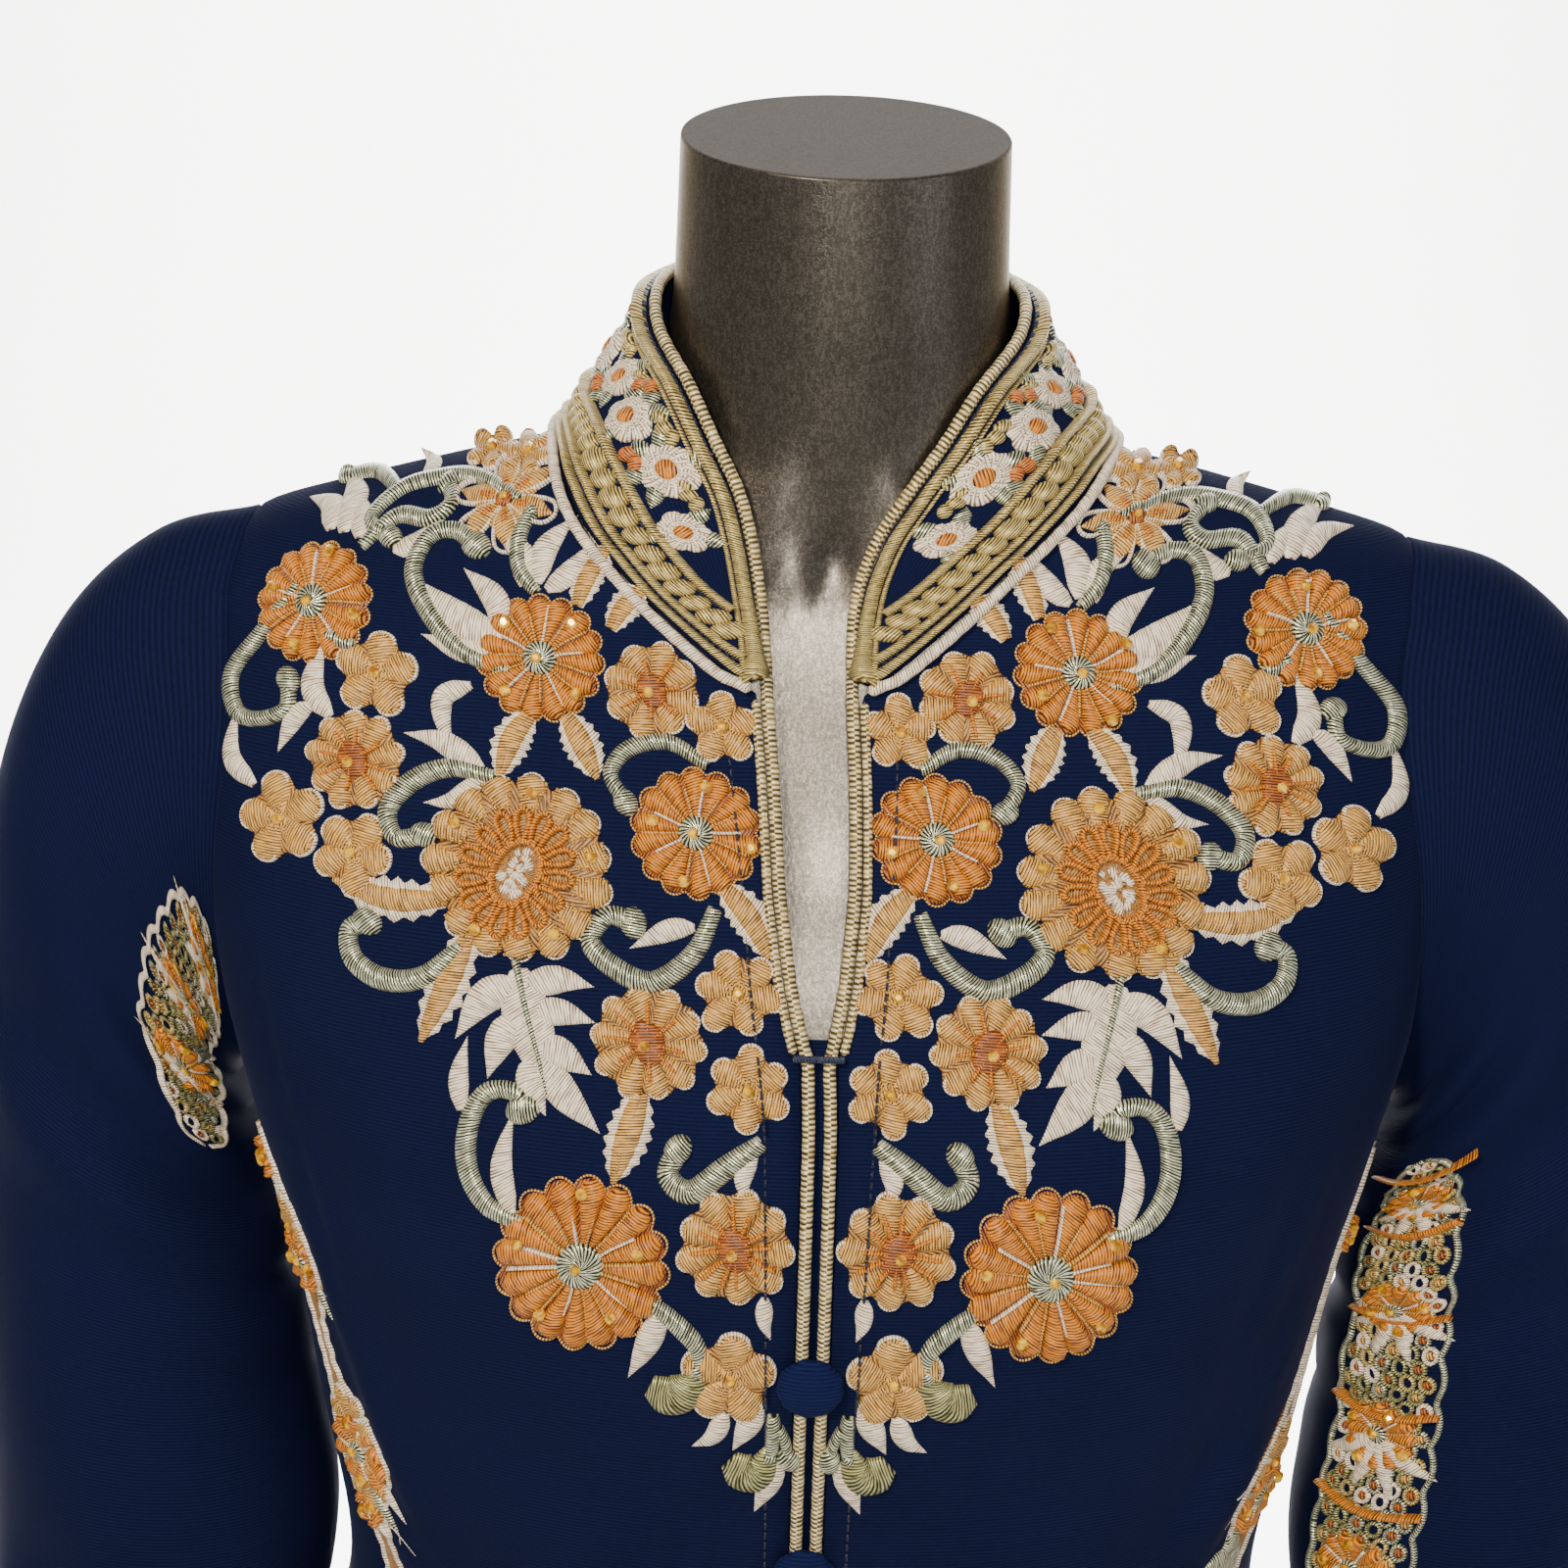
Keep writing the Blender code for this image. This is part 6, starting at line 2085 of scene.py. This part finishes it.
@dataclass
class EdgeCords:
    """Gold cords wrapped in satin: on the free edges, beside them, on the neckline seam and the placket."""

    edge_radius: float = CORD_RADIUS
    edge_top_z: float = 1.4125
    slit_radius: float = 0.0014
    slit_low_z: float = 1.3135
    slit_top_z: float = 1.4150
    neck_radius: float = 0.0018
    neck_out: float = 0.0032
    neck_clear: float = 0.0004
    neck_run_on: float = 0.0045
    wrap: int = 12
    step: float = 0.0012
    wrap_pitch: float = 0.0011

    def tube(
        self, name: str, route: Array, radius: float, yarn: Yarn, stands_for: Sequence[str] = ()
    ) -> None:
        """Roll an even grid into a cord along a route.

        Args:
            name: The piece's name.
            route: Points of its centre line.
            radius: Its radius.
            yarn: Its thread.
            stands_for: Solids that it replaces.
        """
        length = length_of(route)
        count = round(length / self.step)
        line = curve_through(route, count + 1)
        ahead = unit(np.gradient(line, axis=0))
        body = line.copy()
        body[:, 2] = 0.0
        aside = unit(np.cross(ahead, unit(body)))
        up = np.cross(aside, ahead)

        def place(u: Array, v: Array) -> Array:
            """Points round the cord and along it, drawn in to a point at its ends."""
            i = np.rint(v * count).astype(int)
            ends = np.clip(np.minimum(i, count - i), 0, 1)
            girth = radius * (1 + 0.04 * np.sin(v * length / self.wrap_pitch)) * ends
            turn = 2 * math.pi * u
            ring = np.cos(turn)[:, None] * up[i] + np.sin(turn)[:, None] * aside[i]
            return line[i] + girth[:, None] * ring

        mesh = grid_mesh(name, self.wrap, count, place)
        mesh.uv_layers["cloth"].name = "threads"
        uv = mesh.uv_layers["threads"].uv
        flat = np.empty(len(uv) * 2, np.float32)
        uv.foreach_get("vector", flat)
        uv.foreach_set("vector", flat.reshape(-1, 2)[:, ::-1].ravel())
        add_piece(mesh, [yarn.value], stands_for)

    def edge_route(self, side: Side) -> Array:
        """Up the placket and the slit, then along the collar to the centre back."""
        heights = np.linspace(PLACKET_END_Z, self.edge_top_z, 60)
        low = GOWN.at_x(side.value * (slit_half_gap(heights) + self.edge_radius), heights, CORD_LIFT)
        high = [collar_point(row, side.value) for row in COLLAR_ROWS]
        high[-1] = high[-1] + (side.value * 2 * SEAM_GAP, 0.0, 0.0)
        return leaned(np.vstack([low, high]))

    def second_route(self, side: Side) -> Array:
        """Beside the edge cord, from above the foot of the slit up to the collar."""
        heights = np.linspace(self.slit_low_z, self.slit_top_z, 40)
        x = slit_half_gap(heights) + 2 * self.edge_radius + self.slit_radius + SEAM_GAP
        return leaned(GOWN.at_x(side.value * x, heights, CLOTH + 0.0006))

    def neck_route(self) -> Array:
        """Over the neckline seam, from front to front round the back."""
        edge, seam = collar_line(False), collar_line(True)
        line = seam + unit(seam - edge) * self.neck_out
        ends = [line[i] + unit(line[i] - line[j]) * self.neck_run_on for i, j in ((0, 1), (-1, -2))]
        line = np.vstack([ends[:1], line, ends[1:]])
        out = GOWN.normal(line)
        for _ in range(3):
            line = line - out * (GOWN.outside(line) / np.maximum(self.slope(line, out), 1e-6))[:, None]
        return leaned(line + out * (CLOTH + self.neck_clear + self.neck_radius))

    def slope(self, line: Array, out: Array) -> Array:
        """How fast the outside value grows along the outward directions."""
        step = 1e-4
        return (GOWN.outside(line + out * step) - GOWN.outside(line - out * step)) / (2 * step)

    def build(self) -> None:
        """Build every cord."""
        for side in Side:
            label, edge = side.label, self.edge_route(side)
            self.tube(f"edge_cord_wrapped_{label}", edge, self.edge_radius, Yarn.CORD, [f"edge_cord_{label}"])
            self.tube(f"slit_cord_{label}", self.second_route(side), self.slit_radius, Yarn.CORD)
        self.tube("neckline_cord_cream", self.neck_route(), self.neck_radius, Yarn.CREAM, ["neckline_cord"])


@dataclass
class Fastenings:
    """Covered buttons, the strip behind the placket and the bar of stitches at the foot of the slit."""

    top_z: float = 1.2065
    pitch: float = 0.0735
    count: int = 4
    radius: float = 0.0105
    height: float = 0.0050
    x: float = -0.0005
    lift: float = 0.0034
    tack: tuple[float, float, float] = (0.0160, 0.0012, 0.0022)
    tack_lift: float = 0.0040
    underlap_half: float = 0.0140
    underlap_lift: float = -0.0036
    underlap_top_z: float = 1.316
    underlap_wall: float = 0.0010

    def frame_at(self, x: float, z: float, lift: float) -> Matrix:
        """Place on the front with its X across, its Y up and its Z out of the cloth."""
        point = GOWN.at_x(np.array([x]), np.array([z]))
        out = GOWN.normal(point)[0]
        across = unit(np.array((-out[1], out[0], 0.0)))
        turn = Matrix(np.stack([across, np.cross(out, across), out], axis=1).tolist()).to_4x4()
        return Matrix.Translation(Vector(leaned(point)[0] + out * lift)) @ turn

    def build_button(self, number: int, covering: Crepe) -> None:
        """Build a dome of cloth with a rolled rim and faint puckers from its gathered edge."""
        bm = bmesh.new()
        bmesh.ops.create_uvsphere(bm, u_segments=48, v_segments=32, radius=self.radius)
        bmesh.ops.scale(bm, vec=(1, 1, self.height / self.radius), verts=bm.verts)
        mesh = new_mesh(f"button_{number}_covered", bm)
        points = mesh_points(mesh)
        set_uv(mesh, "cloth", points[:, :2])
        turn = np.arctan2(points[:, 1], points[:, 0])
        rim = np.clip(np.hypot(points[:, 0], points[:, 1]) / self.radius - 0.78, 0, 1) / 0.22
        pucker = 1 - 0.018 * rim * (np.sin(9 * turn + number) + 0.6 * np.sin(23 * turn))
        points[:, :2] *= pucker[:, None]
        points[:, 2] = np.where(points[:, 2] < 0, points[:, 2] * 0.30, points[:, 2] * (0.86 + 0.14 * rim))
        set_points(mesh, points)
        z = self.top_z - (number - 1) * self.pitch
        mesh.transform(self.frame_at(self.x, z, self.lift + 0.0012))
        add_piece(mesh, [covering], [f"button_{number}"])

    def build_tack(self) -> None:
        """Build the bar tack as a wrapped bar of navy thread."""
        width, thick, high = self.tack
        bm = bmesh.new()
        bmesh.ops.create_cube(bm, size=1.0)
        bmesh.ops.scale(bm, vec=(width, high, thick), verts=bm.verts)
        edges = bm.edges[:]
        bmesh.ops.bevel(bm, geom=edges, offset=0.0004, segments=3, affect="EDGES", profile=0.5, material=-1)
        mesh = new_mesh("bar_tack_stitched", bm)
        set_uv(mesh, "threads", mesh_points(mesh)[:, :2])
        mesh.transform(self.frame_at(0.0, SLIT_END_Z, self.tack_lift))
        add_piece(mesh, [Yarn.NAVY.value], ["bar_tack"])

    def build_underlap(self) -> None:
        """Build the strip behind the placket."""

        def place(u: Array, v: Array) -> Array:
            """Points across the strip and up it."""
            z = PLACKET_END_Z + (self.underlap_top_z - PLACKET_END_Z) * v
            return leaned(GOWN.at_x((2 * u - 1) * self.underlap_half, z, self.underlap_lift))

        mesh = grid_mesh("underlap_cloth", 8, 80, place)
        add_cloth(mesh, "underlap", wall=self.underlap_wall)

    def build(self) -> None:
        """Build the buttons, the bar and the strip."""
        # The buttons' crepe is a lighter copy of the gown's navy: painted light for the light that the domes
        # catch
        covering = Crepe("polyester_crepe_covering_painted_light", "#080d2a", "#0d153c", "#131d4e", weave=0.5)
        for number in range(1, self.count + 1):
            self.build_button(number, covering)
        self.build_tack()
        self.build_underlap()


# Places of each border: distance down, distance behind the ground's middle, half width
BORDER_COURSES = {
    Side.LEFT: (
        (0, -12, 3), (9, -14, 7), (18, -15, 5), (30, -17, 11), (42, -18, 12), (53, -17, 6), (64, -16, 3),
        (80, -17, 3), (89, -20, 6), (97, -22, 12), (108, -23, 15), (118, -22, 11), (130, -21, 7),
        (146, -21, 5), (160, -20, 4), (176, -18, 11), (190, -17, 12), (206, -16, 5), (222, -14, 4),
        (238, -12, 12), (252, -11, 13), (268, -9, 6), (284, -6, 5), (302, -4, 3),
    ),
    Side.RIGHT: (
        (0, -2, 3), (14, -3, 6), (28, -4, 7), (40, -3, 4), (56, -2, 4), (72, -2, 4), (86, -3, 5),
        (97, -8, 10), (108, -11, 15), (120, -12, 15), (131, -12, 10), (142, -14, 9), (154, -16, 9),
        (166, -14, 6), (178, -12, 11), (190, -12, 12), (206, -11, 5), (222, -10, 4), (238, -9, 12),
        (252, -8, 13), (268, -7, 6), (284, -5, 5), (302, -4, 3),
    ),
}
# The silver fan on the right border: each leaf's tip and half width
SILVER_TIPS = (((-44, 152), 6.5), ((-34, 139), 5.6), ((-38, 166), 6.0), ((-24, 130), 4.6), ((-26, 172), 5.0))


@dataclass
class Border:
    """Embroidered border down one side: a scalloped satin band, flowers, stones and loose threads, in mm."""

    side: Side
    ground: BorderGround
    length: float = 302.0
    scallop: float = 7.0
    flowered: float = 11.0
    small_flowered: float = 7.0

    def middle_at(self, b: Array | float) -> Array:
        """How far the band's middle lies behind the ground's, at a distance down."""
        rows = np.array(BORDER_COURSES[self.side], float)
        return smooth_through(rows[:, 0], rows[:, 1], np.asarray(b, float))

    def half_at(self, b: Array | float) -> Array:
        """Half width at a distance down."""
        rows = np.array(BORDER_COURSES[self.side], float)
        return np.interp(b, rows[:, 0], rows[:, 2])

    def build(self) -> None:
        """Sew the band, its edges, leaves, flowers and stones, and the loose threads."""
        seed = 51 if self.side is Side.LEFT else 52
        work, stones = (Stitching(self.ground, seed + step) for step in (0, 20))
        down = np.linspace(0, self.length, 80)
        band = np.stack([self.middle_at(down), down], axis=1)
        # The band is sewn in the darker copy of the peach thread, painted shade for the side of the gown
        work.ribbon(Yarn.TAN, band, list(self.half_at(down)), 0.5, 0.3, 6, 2.4)
        for edge in (-1, 1):
            b = np.linspace(0, self.length, 260)
            scallops = self.half_at(b) - 0.4 + 1.2 * np.abs(np.sin(math.pi * b / self.scallop))
            line = np.stack([self.middle_at(b) + edge * scallops, b], axis=1)
            work.ribbon(Yarn.CREAM, line[::2], (0.65, 0.65), 0.8, 0.4, 4, 1.5)
        rows = BORDER_COURSES[self.side]
        flowered = [row for row in rows if row[2] >= self.flowered or row[2] == self.small_flowered]
        for number, (b, a, half) in enumerate(flowered):
            centre = np.array((a + work.dice.uniform(-1, 1), b))
            size = half * 0.85
            for turn in (-2.2, -0.9, 0.9, 2.2):
                tip = around(centre, size * 2.2, math.pi / 2 + turn * 0.8)
                tip[0] = centre[0] + np.clip(tip[0] - centre[0], -size * 1.1, size * 1.1)
                yarn = Yarn.SILVER if number % 3 == 2 else Yarn.CREAM
                work.ribbon(yarn, [centre, (centre + tip) / 2, tip], (1.2, 2.2, 1.8, 0.1), 0.9, 0.6, 6, 1.2)
            if number % 2:
                SmallBloom(centre[0], b, size * 1.05, 6, number).sew(work, stones)
            else:
                OrangeBloom(centre[0], b, size * 1.1, 10, number, stones=2).sew(work, stones)
        for tip, half in SILVER_TIPS if self.side is Side.RIGHT else ():
            bend = ((tip[0] - 12) * 0.5, (tip[1] + 148) * 0.5 - 2)
            work.ribbon(Yarn.SILVER, [(-12, 148), bend, tip], (2, half * 0.8, half, half * 0.8, 0), 1.6, 0.6)
        for _ in range(30):
            b = work.dice.uniform(30, self.length)
            edge = work.dice.choice((-1, 1))
            start = np.array((self.middle_at(b) + edge * self.half_at(b), b))
            bend = work.dice.uniform(-5, 5, (2, 2))
            line = [start, start + (edge * 3.0, 0.0) + bend[0], start + (edge * 6.0, 0.0) + bend[1]]
            work.ribbon(Yarn.CREAM, line, (0.10, 0.06), 0.12, 0.1, 4, 1.5)
        work.finish(f"border_embroidery_{self.side.label}", "peach_thread", [f"border_{self.side.label}"])
        stones.finish(f"border_stones_{self.side.label}", "gold_cord", faceted=True)


@dataclass
class SleeveTrim:
    """Dense embroidered band on the inner front of a sleeve, with flowers in a lattice of loops, in mm."""

    side: Side
    ground: SleeveGround
    half: float = 17.0
    loop: float = 6.2
    taper: float = 45.0
    flower_pitch: float = 52.0

    def middle_at(self, b: float) -> float:
        """Place of the band's middle round the sleeve, at a distance down it."""
        return float(np.interp(b, (0, 100, 200, 430), (107, 113, 124, 128)))

    def half_at(self, b: float | Array, start: float, end: float) -> float | Array:
        """Half width of the band, which narrows to its two ends."""
        return self.half * np.sqrt(np.clip(np.minimum(b - start, end - b) / self.taper, 0, 1))

    def build(self) -> None:
        """Sew the edges, the lattice, the flowers with their leaves, and the cords across."""
        left = self.side is Side.LEFT
        start, end = (8.0, 200.0) if left else (188.0, 430.0)
        work, stones = (Stitching(self.ground, 71 + step + left) for step in (0, 20))
        for edge in (-1, 1):
            b = np.linspace(start, end, round((end - start) / 2.6))
            loops = edge * (self.half_at(b, start, end) + 2.0 * np.abs(np.sin(b / 5.4)))
            a = np.array([self.middle_at(v) for v in b]) + loops
            yarn = Yarn.CREAM if left else Yarn.SILVER
            work.ribbon(yarn, np.stack([a, b], axis=1), (1.0, 1.0), 1.1, 0.4, 5, 1.6)
        threads = (Yarn.OLIVE, Yarn.GOLD, Yarn.CREAM, Yarn.OLIVE, Yarn.SILVER)
        for row, b in enumerate(np.arange(start + 4, end - 3, self.loop * 0.86)):
            for column in range(-2, 3):
                aside = (column + 0.5 * (row % 2) - 0.25) * self.loop
                if abs(aside) > self.half_at(b, start, end):
                    continue
                centre = (self.middle_at(b) + aside, b)
                turn = work.dice.uniform(-0.5, 0.5) + math.pi / 2
                ring = around(centre, self.loop * 0.46, np.linspace(0, 2 * math.pi, 9), 0.74, turn)
                yarn = threads[int(work.dice.integers(len(threads)))]
                work.ribbon(yarn, ring, (0.75, 0.75), 1.1, 0.3, 4, 1.7, closed=True)
                if column % 2 == 0:
                    work.disc(Yarn.RUST if row % 3 else Yarn.PEACH, centre, 1.5, 0.9, 0.3, 8, 2)
        for number, b in enumerate(np.arange(start + 30, end - 12, self.flower_pitch)):
            a = self.middle_at(b)
            for turn in (0.6, 1.3, 1.9, 2.6):
                tip = around((a, b), 24.0, turn)
                leaf = [(a, b), (tip + (a, b + 3)) / 2, tip]
                work.ribbon(Yarn.CREAM, leaf, (1.5, 3.2, 3.0, 1.8, 0.1), 1.2, 1.2, 6, 1.4)
            OrangeBloom(a, b, 13.5, 12, 0.3 * number).sew(work, stones)
        for b in np.arange(start + 12, end, 38.0) if not left else ():
            a = self.middle_at(b)
            cord = [(a - self.half - 2, b - 4), (a, b), (a + self.half + 2, b - 2)]
            work.rope(Yarn.ORANGE, cord, 1.2, 1.5)
        work.finish(f"sleeve_embroidery_{self.side.label}", "gold_cord")
        stones.finish(f"sleeve_stones_{self.side.label}", "gold_cord", faceted=True)


def write_sizes(before: tuple[Vector, Vector], after: tuple[Vector, Vector]) -> None:
    """Put the box of the solids and the box of the finished object into plain lists, which are not kept."""
    sizes = {"cad": before, "visual": after}
    sizes = {name: [list(map(float, corner)) for corner in box] for name, box in sizes.items()}


def main() -> None:
    """Build every sub-assembly in order."""
    logging.basicConfig(level=logging.INFO, format="%(message)s")
    solids_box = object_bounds()
    DressForm().build()
    Stand().build()
    panels = Panels()
    panels.build_back()
    for side in Side:
        panels.build_front(side)
        Sleeves().build(side, SleeveGround(side))
        Yoke(side, YokeGround(side)).build()
    Collar(Side.LEFT, CollarGround(Side.LEFT)).build_band()
    for side in Side:
        Collar(side, CollarGround(side)).build()
        Border(side, BorderGround(side)).build()
        SleeveTrim(side, SleeveGround(side)).build()
    EdgeCords().build()
    Fastenings().build()
    Studio().build()
    write_sizes(solids_box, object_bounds())


if __name__ == "__main__":
    main()
